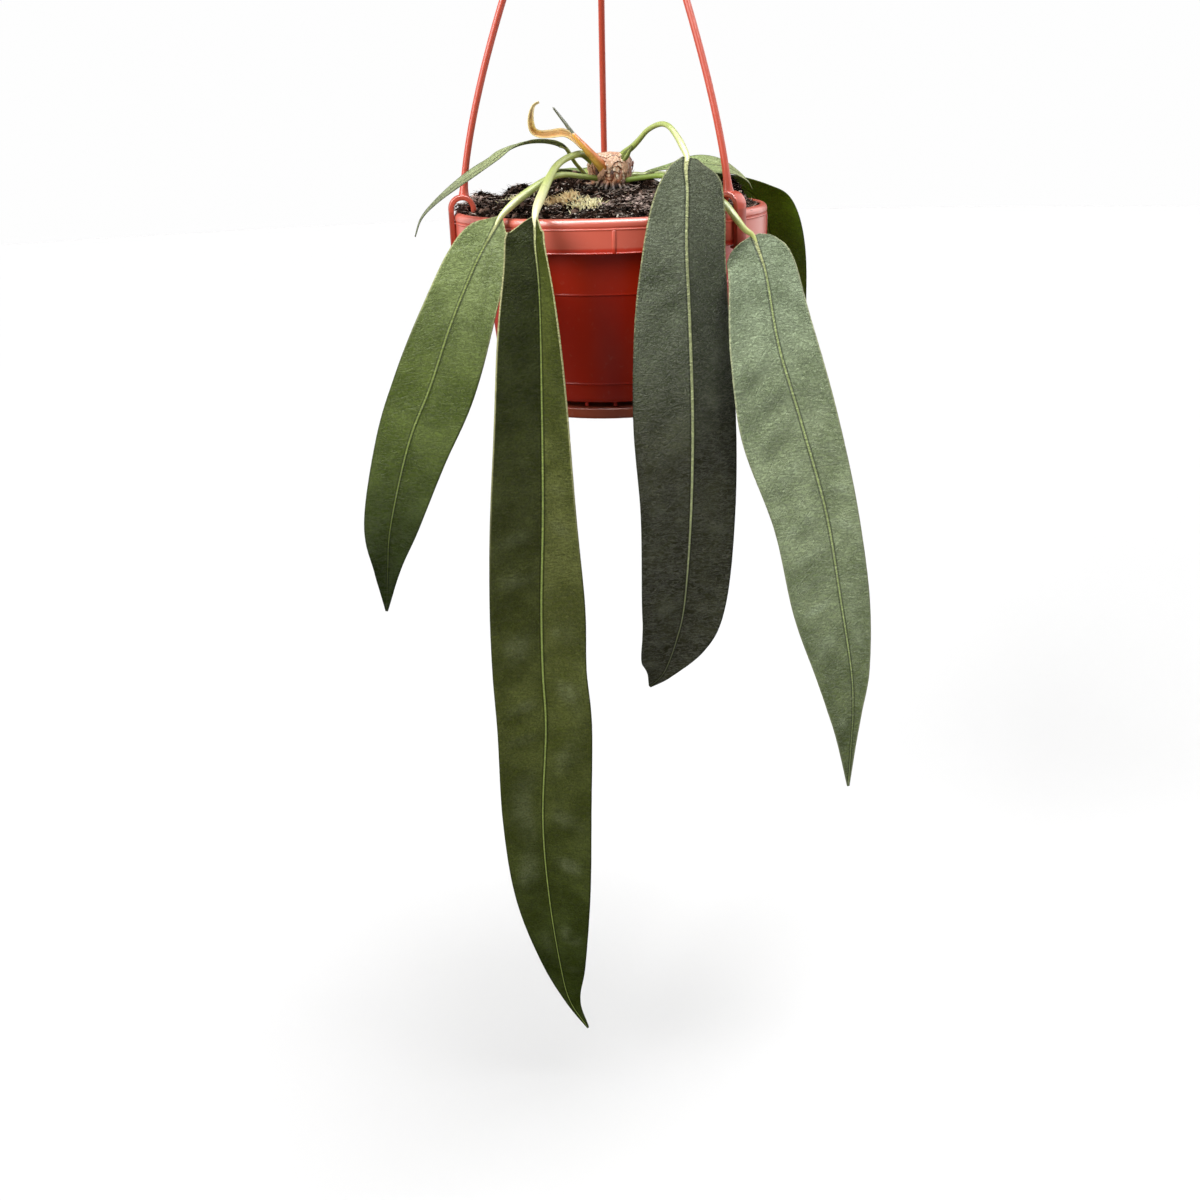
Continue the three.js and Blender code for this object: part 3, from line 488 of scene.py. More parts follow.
# Hanger: one moulding of a lighter, salmon-toned plastic. Three thin bowed arms rise from clips that
# straddle the rim wall to a small hub, and a round hook stands on the hub.
ARM_RADIUS = 1.6
ARM_FOOT_RADIUS = 70
ARM_FOOT_Z = 6.6
ARM_REACH_Z = 189
ARM_TOP_Z = 176
ARM_FOOT_FLARE = 1.2
ARM_FLARE_HEIGHT = 3.5
ARMS = [(190, 1.42), (92, 1.42), (-41, 1.36)]
CLIP_WIDTH = 7
CLIP_THICK = 2.3
CLIP_CENTRE = 71.2
CLIP_OUTER_FACE = 75.3
CLIP_SPRING_Z = 1.5
CLIP_INNER_END_Z = -9.1
CLIP_OUTER_END_Z = -16.9
CLIP_CATCH = [(73.5, -15.1), (73.5, -16.3)]
CLIP_ROUNDING = 0.45
HUB_OUTLINE = [
    (0, 172.5, 0), (6.4, 172.5, 0.8), (8.4, 173.4, 0.9), (8.2, 176.5, 0.8), (6.8, 179.3, 0.9),
    (3.6, 179.6, 0.6), (3.2, 182, 1.0), (0, 182, 0),
]
HOOK_CENTRE_Z = 202.5
HOOK_BEND = 10.5
HOOK_ROD = 2.3
HOOK_STEM = [(0, 0, 178), (0, 0, 183), (0.3, 0, 186.5), (1.6, 0, 189.6), (3.9, 0, 192.2)]
HOOK_BEND_ENDS = (-52, 186)
HOOK_TIP = [(-10.9, 0, 199), (-11.3, 0, 197.4), (-11.5, 0, 196.4), (-11.55, 0, 196.0)]
HOOK_TIP_RADII = [2.15, 1.7, 0.8]

rod_tree, given = new_tree("round_rods_along_paths", [
    ("Paths", "Geometry"), ("Sides", "Int"), ("Skin", "Material")], "Rods")
lines = add_node(rod_tree, "GeometryNodeMeshToCurve", {"Mesh": given["Paths"]})
thick = add_node(rod_tree, "GeometryNodeInputNamedAttribute", {"Name": "thick"}, data_type="FLOAT")
ring = add_node(rod_tree, "GeometryNodeCurvePrimitiveCircle", {"Resolution": given["Sides"], "Radius": 1.0})
swept = add_node(rod_tree, "GeometryNodeCurveToMesh", {
    "Curve": lines.outputs[0], "Profile Curve": ring.outputs["Curve"], "Scale": thick.outputs["Attribute"],
    "Fill Caps": True})
smooth = add_node(rod_tree, "GeometryNodeSetShadeSmooth", {"Geometry": swept.outputs[0]})
close_tree(rod_tree, smooth.outputs[0], given["Skin"])


def placed(points):
    """Points in millimetres from the middle of the rim, as metres of the model."""
    return np.asarray(points, float) * MM + (0, 0, RIM_TOP)


def paths(name, strands):
    """A carrier mesh of many paths. A strand is its points, its radii and a tint, in millimetres."""
    points, edges, thick, along, tint = [], [], [], [], []
    for spots, radii, shade in strands:
        first = len(points)
        spots = placed(spots)
        count = len(spots)
        points += spots.tolist()
        edges += [(first + k, first + k + 1) for k in range(count - 1)]
        thick += (np.interp(np.linspace(0, 1, count), np.linspace(0, 1, len(radii)), radii) * MM).tolist()
        along += np.linspace(0, 1, count).tolist()
        tint += [shade] * count
    mesh = bpy.data.meshes.new(name)
    mesh.from_pydata(points, edges, [])
    for label, values in (("thick", thick), ("along", along), ("tint", tint)):
        mesh.attributes.new(label, "FLOAT", "POINT").data.foreach_set("value", values)
    return mesh


def rods(name, strands, sides, skin):
    """Round rods, stems or fibres swept along paths."""
    return grow(name, paths(name, strands), rod_tree, Sides=sides, Skin=skin)


hanger_skin = plastic(
    "salmon_plastic", [tone(176, 66, 44), tone(210, 84, 60)], [0.5], dust=0.06, roughness=0.30)
strands = []
for degrees, bow in ARMS:
    levels = np.linspace(ARM_FOOT_Z - 1.0, ARM_TOP_Z, 64)
    climbed = np.clip((levels - ARM_FOOT_Z) / (ARM_REACH_Z - ARM_FOOT_Z), 0, 1)
    reach = ARM_FOOT_RADIUS * (1 - climbed ** bow)
    compass = math.radians(degrees)
    arm = np.stack([reach * math.cos(compass), reach * math.sin(compass), levels], axis=-1)
    radii = ARM_RADIUS + ARM_FOOT_FLARE * np.exp(-(levels - ARM_FOOT_Z) / ARM_FLARE_HEIGHT)
    strands.append((arm, radii, 0.0))
bend = np.radians(np.linspace(*HOOK_BEND_ENDS, 40))
hook_bend = [(HOOK_BEND * math.cos(a), 0, HOOK_CENTRE_Z + HOOK_BEND * math.sin(a)) for a in bend]
hook = [*HOOK_STEM, *hook_bend, *HOOK_TIP]
hook_radii = [HOOK_ROD] * (len(hook) - len(HOOK_TIP_RADII)) + HOOK_TIP_RADII
strands.append((hook, hook_radii, 0.0))
arms = rods("hanger_arms", strands, 16, hanger_skin)
settle(arms, "hanger_plastic", "hanger")
hub = turned("hanger_hub", rounded_outline(HUB_OUTLINE), 48, hanger_skin)
settle(hub, "hanger_plastic", "hanger")


def arc(radius, start, end, steps=20):
    """Points of a clip's arch, from one angle to another."""
    for step in range(steps + 1):
        a = math.radians(start + (end - start) * step / steps)
        yield CLIP_CENTRE + radius * math.cos(a), CLIP_SPRING_Z + radius * math.sin(a)


arch = CLIP_OUTER_FACE - CLIP_CENTRE
inner_leg = CLIP_CENTRE - arch
clip_outline = [
    (CLIP_OUTER_FACE + CLIP_THICK, CLIP_OUTER_END_Z), *arc(arch + CLIP_THICK, 0, 180),
    (inner_leg - CLIP_THICK, CLIP_INNER_END_Z), (inner_leg, CLIP_INNER_END_Z), *arc(arch, 180, 0),
    (CLIP_OUTER_FACE, CLIP_CATCH[0][1]), *CLIP_CATCH,
]
clips = bpy.data.meshes.new("hanger_clips")
clip_points, clip_faces = [], []
for degrees, _ in ARMS:
    spin = Matrix.Rotation(math.radians(degrees), 3, "Z")
    first, size = len(clip_points), len(clip_outline)
    for side in (-0.5, 0.5):
        for radius, height in clip_outline:
            spot = spin @ Vector((radius, side * CLIP_WIDTH, height))
            clip_points.append(spot * MM + Vector((0, 0, RIM_TOP)))
    clip_faces.append([first + k for k in range(size)])
    clip_faces.append([first + size + k for k in reversed(range(size))])
    for k in range(size):
        after = (k + 1) % size
        clip_faces.append([first + after, first + k, first + size + k, first + size + after])
clips.from_pydata(clip_points, [], clip_faces)
clips.materials.append(hanger_skin)
clip_piece = bpy.data.objects.new("hanger_clips", clips)
scene.collection.objects.link(clip_piece)
edge = clip_piece.modifiers.new("edge", "BEVEL")
edge.width = CLIP_ROUNDING * MM
edge.segments = 3
edge.limit_method = "ANGLE"
edge.angle_limit = math.radians(40)
as_made(clip_piece)
clip_piece.data.shade_smooth()
clip_piece.data.set_sharp_from_angle(angle=math.radians(50))
settle(clip_piece, "hanger_plastic", "hanger")


# Compost: dark fibrous mix of peat and bark, poured in and heaped to the middle of the pot, drawn down
# at the rim by watering, with mounds near the edge. It fills the pot and is one lumpy bed.
RIM_RADIUS = 75
SOIL_EDGE_Z = -2.4
SOIL_HEAP = 10
SOIL_RADIUS = 71.6
SOIL_RINGS = 95
SOIL_SIDES = 300
SOIL_LUMP = 0.45
SOIL_MOUNDS = [
    (-64, 6, 8, 8), (-46, 22, 10, 6), (62, 27, 9, 12), (-67, -4, 5, 5), (-12, 10, 9, 6.5), (-24, 12, 10, 5),
    (16, 13, 13, 4),
]
SOIL_SKIRT = [(71.4, -10.0), (61.0, -10.0), (52.0, -80.6), (50.6, -82.5)]


def soil_lumps(x, y):
    """The clods of the loose mix, over and under the heap's even surface."""
    clods = 1.4 * noise.noise((x / 8, y / 8, 0.3)) + 2.6 * (0.25 - abs(noise.noise((x / 4.2, y / 4.2, 5.1))))
    return clods + 1.5 * (0.25 - abs(noise.noise((x / 1.9, y / 1.9, 9.7))))


def soil_height(x, y):
    """The heap's height over the rim at a place, with all its lumps."""
    reach = math.hypot(x, y) / RIM_RADIUS
    settled = max(0.0, 1 - reach ** 14)
    coarse = math.sin(0.31 * x + 0.17 * y) + math.sin(0.23 * y - 0.19 * x + 1.3)
    relief = SOIL_HEAP * (1 - reach ** 2) + SOIL_LUMP * (coarse + math.sin(0.52 * x - 0.41 * y))
    for mound_x, mound_y, size, height in SOIL_MOUNDS:
        relief += height * math.exp(-((x - mound_x) ** 2 + (y - mound_y) ** 2) / size ** 2)
    from_rim = RIM_RADIUS - RIM_RADIUS * reach
    return SOIL_EDGE_Z + settled * relief + soil_lumps(x, y) * min(1.0, from_rim / 5)


compost_skin, tree, shader = new_skin("compost", Specular_IOR_Level=0.0)
place = own_place(tree)
# The compost is painted near black low in its hollows and browner up on its lumps, as painted shade between
# the clods, over a random cloudy tone.
raised = mark(tree, "lump")
clods = cloudy(tree, place, 330.0, 5.0)
threads = cloudy(tree, place, 800.0, 3.0, Distortion=2.5)
peak = figure(tree, "MULTIPLY_ADD", clods, 2.2, raised)
colour = blended(tree, ramped(tree, peak, 0.6, 2.4), tone(5, 3, 2), tone(46, 32, 25))
colour = blended(tree, ramped(tree, threads, 0.62, 0.72), colour, tone(150, 126, 110))
height = figure(tree, "MULTIPLY_ADD", threads, 0.4, clods)
bump = bumped(tree, height, 0.9, 0.0014)
rough = ramped(tree, clods, 0.3, 0.7, 0.95, 0.75)
feed(tree, shader, Base_Color=colour, Roughness=rough, Normal=bump)

angles = np.linspace(0, math.tau, SOIL_SIDES, endpoint=False)
soil_rings = [[(r * math.cos(a), r * math.sin(a), z) for a in angles] for r, z in reversed(SOIL_SKIRT)]
for ring_radius in np.linspace(SOIL_RADIUS, SOIL_RADIUS / SOIL_RINGS, SOIL_RINGS):
    ring = [(ring_radius * math.cos(a), ring_radius * math.sin(a)) for a in angles]
    soil_rings.append([(x, y, soil_height(x, y)) for x, y in ring])
soil_points = np.array(soil_rings).reshape(-1, 3)
ends = np.array([(0, 0, SOIL_SKIRT[-1][1]), (0, 0, soil_height(0, 0))])
soil_points = placed(np.concatenate([soil_points, ends]))
lumps = [soil_lumps(x / MM, y / MM) for x, y, _ in soil_points]
soil_faces = tube_faces(len(soil_rings), SOIL_SIDES)
soil = closed_piece("compost_heap", soil_points, soil_faces, compost_skin, {"lump": lumps})
settle(soil, "compost", "soil")


# Litter: crumbs, bark chunks, threads, roots, straw, grit and tan clods lie loose on the compost, two kinds
# of moss grow on it in cushions, and a mat of tan fibres is caught under the left clip. Each kind is one
# small shape, strewn over the heap in patches of an x, a y and a reach.
GOLD_MOSS = [(-25, -33, 5.5), (-20, -35, 5.5), (-17, -39, 4)]
GREEN_MOSS = [(-13, -47, 6), (-8, -50, 5), (-44, -2, 6), (-12, -44, 4)]
PALE_BITS = [(-5, -60, 5), (5, -61, 5), (-14, -59, 4), (-24, 2, 5), (-28, -48, 4), (24, -56, 5)]
TAN_CLODS = [(7.6, -18, 4), (16.6, -30, 4.5), (11, -43, 6), (15.4, -54, 5), (-65, -4, 6), (-1.9, -53, 3.5),
             (58, 30, 9)]
STRAW_PATCHES = [(13, -52, 8), (-2, -16, 7), (-62, -10, 8), (10, -24, 6), (-50, 8, 7)]
MAT_COUNT = 110
MAT_PLACE = (-70.3, -6.0)
MAT_SPREAD = (1.5, 4.2)
BED_STEPS = 90
BED_HEM = 1.2
BARE_HEM = 1.5


def patchy(x, y, patches):
    """How much a place belongs to a set of round patches, from 0 to 1."""
    most = max(math.exp(-((x - px) ** 2 + (y - py) ** 2) / size ** 2) for px, py, size in patches)
    broken = 0.65 + 2.0 * noise.noise((x / 2.4, y / 2.4, 3.3))
    return max(0.0, min(1.0, most * broken))


def bed_with(label, patches, elsewhere, lift):
    """The open top of the heap, raised where a cushion grows, with the share of growth on its points."""
    steps = np.linspace(BED_HEM - SOIL_RADIUS, SOIL_RADIUS - BED_HEM, BED_STEPS)
    points, shares, faces = [], [], []
    for x in steps:
        for y in steps:
            inside = math.hypot(x, y) < SOIL_RADIUS - BARE_HEM
            share = max(elsewhere, patchy(x, y, patches)) if inside else 0.0
            points.append((x * MM, y * MM, (soil_height(x, y) + lift * share) * MM + RIM_TOP))
            shares.append(share)
    for i in range(len(steps) - 1):
        for k in range(len(steps) - 1):
            here = i * len(steps) + k
            faces.append((here, here + len(steps), here + len(steps) + 1, here + 1))
    mesh = bpy.data.meshes.new(label)
    mesh.from_pydata(points, [], faces)
    mesh.attributes.new("share", "FLOAT", "POINT").data.foreach_set("value", shares)
    return mesh


def scatter_tree(name, least, most):
    """A tree that strews copies of a small shape over a bed, tipped over between two angles."""
    tree, given = new_tree(name, [
        ("Bed", "Geometry"), ("Shape", "Object"), ("Density", "Float"), ("Seed", "Int"),
        ("Smallest", "Float"), ("Largest", "Float"), ("Ragged", "Float"), ("Skin", "Material")], "Strewn")
    share = add_node(tree, "GeometryNodeInputNamedAttribute", {"Name": "share"}, data_type="FLOAT")
    density = figure(tree, "POWER", share.outputs["Attribute"], 1.5)
    density = times(tree, density, given["Density"])
    spots = add_node(tree, "GeometryNodeDistributePointsOnFaces", {
        "Mesh": given["Bed"], "Density": density, "Seed": given["Seed"]})
    spin = add_node(tree, "FunctionNodeRandomValue", {
        0: (least, -0.45, 0.0), 1: (most, 0.45, math.tau), "Seed": given["Seed"]}, data_type="FLOAT_VECTOR")
    size = add_node(tree, "FunctionNodeRandomValue", {
        2: given["Smallest"], 3: given["Largest"], "Seed": given["Seed"]}, data_type="FLOAT")
    tint = add_node(tree, "FunctionNodeRandomValue", {
        2: 0.0, 3: 1.0, "Seed": given["Seed"]}, data_type="FLOAT")
    tinted = add_node(tree, "GeometryNodeStoreNamedAttribute", {
        "Geometry": spots.outputs["Points"], "Name": "tint", "Value": tint.outputs[1]},
        data_type="FLOAT", domain="POINT")
    shape = add_node(tree, "GeometryNodeObjectInfo", {"Object": given["Shape"]})
    copies = add_node(tree, "GeometryNodeInstanceOnPoints", {
        "Points": tinted.outputs[0], "Instance": shape.outputs["Geometry"],
        "Rotation": spin.outputs[0], "Scale": size.outputs[1]})
    real = add_node(tree, "GeometryNodeRealizeInstances", {"Geometry": copies.outputs[0]})
    grain = add_node(tree, "ShaderNodeTexNoise", {"Scale": 700.0, "Detail": 1.0})
    shift = add_node(tree, "ShaderNodeVectorMath", {
        0: grain.outputs["Color"], 1: (0.5, 0.5, 0.5)}, operation="SUBTRACT")
    shift = add_node(tree, "ShaderNodeVectorMath", {
        0: shift.outputs[0], "Scale": given["Ragged"]}, operation="SCALE")
    moved = add_node(tree, "GeometryNodeSetPosition", {
        "Geometry": real.outputs[0], "Offset": shift.outputs[0]})
    close_tree(tree, moved.outputs[0], given["Skin"])
    return tree


def small_shape(name, points, faces, skin):
    """One small shape about the origin, in millimetres, to be strewn and then taken away."""
    mesh = bpy.data.meshes.new(name)
    mesh.from_pydata([tuple(MM * v for v in spot) for spot in points], [], faces)
    mesh.materials.append(skin)
    shape = bpy.data.objects.new(name, mesh)
    scene.collection.objects.link(shape)
    return shape


def ball(radius, squash):
    """Points and faces of a coarse lump with 18 faces."""
    points, faces = [(0, 0, -radius * squash)], []
    for level in (-0.4, 0.5):
        reach = radius * math.sqrt(1 - level ** 2)
        points += [(reach * math.cos(a), reach * math.sin(a), level * radius * squash)
                   for a in (math.tau * k / 6 for k in range(6))]
    points.append((0, 0, radius * squash))
    for k in range(6):
        after = (k + 1) % 6
        faces.append((0, 1 + after, 1 + k))
        faces.append((1 + k, 1 + after, 7 + after, 7 + k))
        faces.append((7 + k, 7 + after, 13))
    return points, faces


def chip(radius, squash):
    """Points and faces of a sharp eight-sided bit."""
    points = [(radius, 0, 0), (0, 0.55 * radius, 0), (-0.8 * radius, 0, 0), (0, -0.7 * radius, 0),
              (0.15 * radius, 0, radius * squash), (0, 0.1 * radius, -radius * squash)]
    faces = [(k, (k + 1) % 4, 4) for k in range(4)] + [((k + 1) % 4, k, 5) for k in range(4)]
    return points, faces


def spear(length, width, bend, sides=3, steps=4):
    """Points and faces of a thin bent spear that stands on the origin and narrows to its tip."""
    points, faces = [], []
    for step in range(steps):
        u = step / steps
        reach = width * (1 - 0.6 * u)
        points += [(reach * math.cos(a) + bend * u * u, reach * math.sin(a), length * u)
                   for a in (math.tau * k / sides for k in range(sides))]
    points.append((bend, 0, length))
    for step in range(steps - 1):
        for k in range(sides):
            after = (k + 1) % sides
            here = step * sides
            faces.append((here + k, here + after, here + sides + after, here + sides + k))
    last = (steps - 1) * sides
    faces += [(last + k, last + (k + 1) % sides, steps * sides) for k in range(sides)]
    faces.append(tuple(reversed(range(sides))))
    return points, faces


def tinted_skin(name, dark, light, roughness, rarity=1.0):
    """A dull skin whose copies differ in tone. The higher the rarity, the fewer of them are light."""
    skin, tree, shader = new_skin(name, Roughness=roughness, Specular_IOR_Level=0.0)
    tint = mark(tree, "tint")
    place = own_place(tree)
    flecks = cloudy(tree, place, 1300.0, 2.0)
    rare = figure(tree, "POWER", tint, rarity)
    share = times(tree, rare, figure(tree, "ADD", flecks, 0.4))
    bump = bumped(tree, flecks, 0.5, 0.0003)
    feed(tree, shader, Base_Color=blended(tree, share, dark, light), Normal=bump)
    return skin


lying = scatter_tree("strewn_lying", 1.15, 1.85)
upright = scatter_tree("strewn_upright", -1.1, 1.1)
crumb_skin = tinted_skin("crumbs", tone(9, 6, 5), tone(150, 122, 108), 0.95, 7.0)
clod_skin = tinted_skin("tan_clods", tone(24, 16, 13), tone(226, 202, 190), 0.95, 1.6)
thread_skin = tinted_skin("threads", tone(11, 8, 6), tone(240, 220, 206), 0.9, 13.0)
straw_skin = tinted_skin("straw", tone(92, 68, 46), tone(228, 212, 178), 0.8)
grit_skin = tinted_skin("pale_grit", tone(178, 166, 150), tone(250, 244, 232), 0.85)
gold_skin = tinted_skin("gold_moss", tone(206, 146, 78), tone(255, 238, 190), 0.9, 0.7)
moss_skin = tinted_skin("green_moss", tone(206, 180, 96), tone(255, 252, 214), 0.9, 0.6)


def strew(name, form, skin, density, seed, sizes, ragged=0.9, patches=((0, 0, 1),), elsewhere=1.0, lift=0.0,
          way=lying):
    """Strews copies of a shape over the heap, so many to the square metre in the patches and a share of
    that elsewhere, with their points pushed about by the ragged millimetres."""
    shape = small_shape(name + "_shape", *form, skin)
    bed = bed_with(name, patches, elsewhere, lift)
    piece = grow(name, bed, way, Shape=shape, Density=density, Seed=seed, Smallest=sizes[0],
                 Largest=sizes[1], Ragged=ragged * MM, Skin=skin)
    bpy.data.objects.remove(shape)
    settle(piece, "compost")


strew("soil_crumbs", chip(0.75, 0.6), crumb_skin, density=9.0e5, seed=3, sizes=(0.3, 1.3))
strew("soil_chunks", ball(1.2, 0.6), crumb_skin, density=2.6e4, seed=8, sizes=(0.5, 1.5), ragged=2.2)
strew("soil_fibres", spear(3.4, 0.13, 1.5, steps=3), thread_skin, density=5.0e5, seed=21, sizes=(0.4, 1.3),
      lift=0.3)
strew("soil_clods", chip(0.8, 0.8), clod_skin, density=1.6e6, seed=9, sizes=(0.35, 1.3), ragged=1.1,
      patches=TAN_CLODS, elsewhere=0.04, lift=1.2)
strew("soil_curls", spear(2.6, 0.14, 1.7), clod_skin, density=1.8e6, seed=14, sizes=(0.4, 1.2), ragged=0.7,
      patches=TAN_CLODS, elsewhere=0.06, lift=1.3)
strew("soil_straw", spear(6, 0.18, 1.2), straw_skin, density=5.0e4, seed=5, sizes=(0.4, 1.1), ragged=0.0,
      patches=STRAW_PATCHES, elsewhere=0.12)
strew("soil_roots", spear(5.5, 0.17, 2.2, steps=5), thread_skin, density=6.0e4, seed=12, sizes=(0.4, 1.2),
      ragged=0.8, lift=0.3)
strew("soil_grit", ball(0.5, 0.8), grit_skin, density=3.0e5, seed=4, sizes=(0.3, 1.1), ragged=0.5,
      patches=PALE_BITS, elsewhere=0.1, lift=0.4)
strew("soil_gold_moss", spear(2.2, 0.3, 1.4), gold_skin, density=2.5e6, seed=6, sizes=(0.4, 1.6), ragged=0.8,
      patches=GOLD_MOSS, elsewhere=0.0, lift=1.2, way=upright)
strew("soil_moss", spear(1.9, 0.32, 1.1), moss_skin, density=2.6e6, seed=16, sizes=(0.4, 1.5), ragged=0.8,
      patches=GREEN_MOSS, elsewhere=0.0, lift=1.2, way=upright)

mat = []
chance = random.Random(19)
for _ in range(MAT_COUNT):
    x, y = (chance.gauss(*spread) for spread in zip(MAT_PLACE, MAT_SPREAD))
    z, turn, reach = chance.uniform(-0.6, 3.6), chance.uniform(0, math.tau), chance.uniform(1.2, 3.2)
    bend_x, bend_y = chance.uniform(-1.2, 1.2), chance.uniform(-1.2, 1.2)
    line = []
    for u in np.linspace(-1, 1, 6):
        line.append((x + reach * u * math.cos(turn) + bend_x * (1 - u * u),
                     y + reach * u * math.sin(turn) + bend_y * (1 - u * u),
                     z * (1 - 0.35 * u * u)))
    radii = [0.12, chance.uniform(0.15, 0.3), 0.1]
    mat.append((line, radii, chance.uniform(0.15, 0.95)))
settle(rods("rim_fibres", mat, 4, clod_skin), "compost")


# Rhizome: the short upright stem. Old leaf bases have dried to pink-tan paper round it, torn into strips
# and strings, and young roots run from its foot into the compost.
RHIZOME_PLACE = (0.4, -1)
RHIZOME_DEPTH = 0.92
RHIZOME_LEVELS = [(-6, 6), (3, 6.2), (8.5, 6.4), (12, 7.9), (15.5, 9.3), (19, 9.9), (22, 9.1), (24.2, 6.8)]
RHIZOME_SIDES = 240
RHIZOME_RINGS = 120
HOLLOW_ANGLE, HOLLOW_LEVEL = 4.05, 3.9
TORN_ANGLE = 5.3
FLAKE_ROWS, FLAKE_COLUMNS = 14, 11
FLAKE_HALF = 0.09
STRING_COUNT = 60
ROOT_START = 6.5
ROOTS = [(-118, 15, 0.9), (-96, 18, 0.7), (-80, 13, 0.8), (-64, 19, 0.6), (-42, 16, 0.9), (-140, 17, 0.7),
         (-20, 15, 0.6), (170, 15, 0.8), (120, 16, 0.7), (60, 17, 0.8)]
WRAPS = [
    {"count": 9, "around": (0.0, 6.28), "levels": (3.6, 5.6), "reaches": (0.8, 1.4), "widths": (0.12, 0.26),
     "lifts": (0.9, 1.3), "flare": 1.0, "tints": (0.35, 0.9)},
    {"count": 10, "around": (0.0, 6.28), "levels": (2.2, 3.8), "reaches": (1.0, 1.8), "widths": (0.08, 0.2),
     "lifts": (0.8, 1.6), "flare": 2.0, "tints": (0.1, 0.8)},
    {"count": 16, "around": (4.9, 6.6), "levels": (1.8, 3.6), "reaches": (1.2, 2.4),
     "widths": (0.035, 0.075), "lifts": (0.8, 1.7), "flare": 1.4, "tints": (0.1, 1.0)},
    {"count": 12, "around": (0.0, 6.28), "levels": (1.4, 3.2), "reaches": (1.0, 2.2), "widths": (0.04, 0.1),
     "lifts": (0.5, 1.2), "flare": 1.2, "tints": (0.0, 0.7)},
]


def cubic(u, start, end, leave, arrive):
    """A smooth line from start to end, with the speeds at which it leaves and arrives."""
    return ((2 * u ** 3 - 3 * u ** 2 + 1) * start + (u ** 3 - 2 * u ** 2 + u) * leave
            + (3 * u ** 2 - 2 * u ** 3) * end + (u ** 3 - u ** 2) * arrive)


def along_rows(rows, places):
    """Values read off a smooth line through rows of numbers, at places from 0 to 1."""
    rows = np.asarray(rows, float)
    padded = np.vstack([2 * rows[0] - rows[1], rows, 2 * rows[-1] - rows[-2]])
    spot = np.clip(places, 0, 1) * (len(rows) - 1)
    low = np.minimum(spot.astype(int), len(rows) - 2)
    u = (spot - low)[:, None]
    before, start, end, after = (padded[low + k] for k in range(4))
    return cubic(u, start, end, 0.5 * (end - before), 0.5 * (after - start))


def rhizome_reach(angle, level):
    """The stem's radius at an angle, on a level counted as in its list, with its ridges."""
    height, radius = along_rows(RHIZOME_LEVELS, np.array([level / (len(RHIZOME_LEVELS) - 1)]))[0]
    ridge = 0.05 * math.sin(7 * angle + 0.9 * level) + 0.03 * math.sin(11 * angle - 1.7 * level)
    ridge *= min(1.0, max(0.25, (5.4 - level) / 2))
    rough = 0.055 * noise.noise((3.1 * math.cos(angle), 3.1 * math.sin(angle), 0.5 * level))
    rough += 0.02 * noise.noise((9 * math.cos(angle), 9 * math.sin(angle), 1.3 * level))
    return height, radius * (1 + ridge + rough)


def paper_layers(angle, level):
    """How far the dried leaf bases stand off the stem at a place, and how light the paper is there: a random
    tone in its pleats, with painted shade where a layer tucks under the next one's edge, in the hollow and
    between the torn ribs.
    """
    ring_x, ring_y = math.cos(angle), math.sin(angle)
    warp = noise.noise((1.3 * ring_x, 1.3 * ring_y, 0.3 * level))
    warp += 0.35 * noise.noise((4 * ring_x, 4 * ring_y, 0.8 * level))
    ragged = 0.16 * noise.noise((14 * ring_x, 14 * ring_y, 2.0))
    ragged += 0.10 * noise.noise((30 * ring_x, 30 * ring_y, 5.0))
    climb = 1.55 * level + 0.5 * math.cos(angle + 1.0) + 1.6 * warp + ragged
    part = climb - math.floor(climb)
    off = 0.85 * (1 - part) ** 0.8
    pleat = noise.noise((9 * ring_x + 3 * math.floor(climb), 9 * ring_y, 0.5 * level))
    light = 0.74 + 0.7 * pleat
    # Each layer is lighter along its standing edge and painted dark just under the next one's edge, a painted
    # shade.
    light += 0.5 * max(0.0, 1 - part / 0.14) - 1.1 * max(0.0, 1 - (1 - part) / 0.26)
    front_right = math.exp(-((angle - TORN_ANGLE) / 0.75) ** 2) * max(0.0, min(1.0, (4.4 - level) / 1.2))
    # The torn ribs at the front right are painted lighter on their crests and darker between them, as painted
    # shade.
    torn_rib = math.sin(17 * angle + 2.5 * noise.noise((level, 4 * ring_x, 4 * ring_y)) + 1.1 * level)
    off += front_right * (0.75 * torn_rib + 0.3)
    light += front_right * 0.75 * torn_rib
    # The hollow sinks in and is painted dark, a painted shade.
    hollow = math.exp(-((angle - HOLLOW_ANGLE) / 0.36) ** 2 - ((level - HOLLOW_LEVEL) / 0.7) ** 2)
    off += 0.35 * pleat - 3.2 * hollow
    light = light * (1 - hollow) - 0.5 * hollow
    return off, max(0.0, min(1.0, light))


def on_rhizome(angle, level, lift=0.0):
    """A point on the stem's skin, or lifted off it."""
    height, reach = rhizome_reach(angle, level)
    x = RHIZOME_PLACE[0] + (reach + lift) * math.cos(angle)
    y = RHIZOME_PLACE[1] + RHIZOME_DEPTH * (reach + lift) * math.sin(angle)
    return x, y, height


paper_skin, tree, shader = new_skin("rhizome_paper", Sheen_Weight=0.15)
place = own_place(tree)
upright_place = add_node(tree, "ShaderNodeMapping", {"Vector": place, "Scale": (1.0, 1.0, 0.6)}).outputs[0]
fibres = cloudy(tree, upright_place, 900.0, 4.0, Distortion=1.5)
stains = cloudy(tree, place, 150.0, 3.0)
sides = add_node(tree, "ShaderNodeSeparateXYZ", {"Vector": place})
tint = mark(tree, "tint")
colour = blended(tree, ramped(tree, tint, 0.0, 0.4), tone(74, 38, 24), tone(204, 134, 86))
colour = blended(tree, ramped(tree, tint, 0.35, 0.65), colour, tone(238, 188, 146))
colour = blended(tree, ramped(tree, tint, 0.7, 1.0), colour, tone(254, 232, 196))
colour = blended(tree, ramped(tree, fibres, 0.3, 0.52, 0.45, 0.0), colour, tone(120, 60, 36))
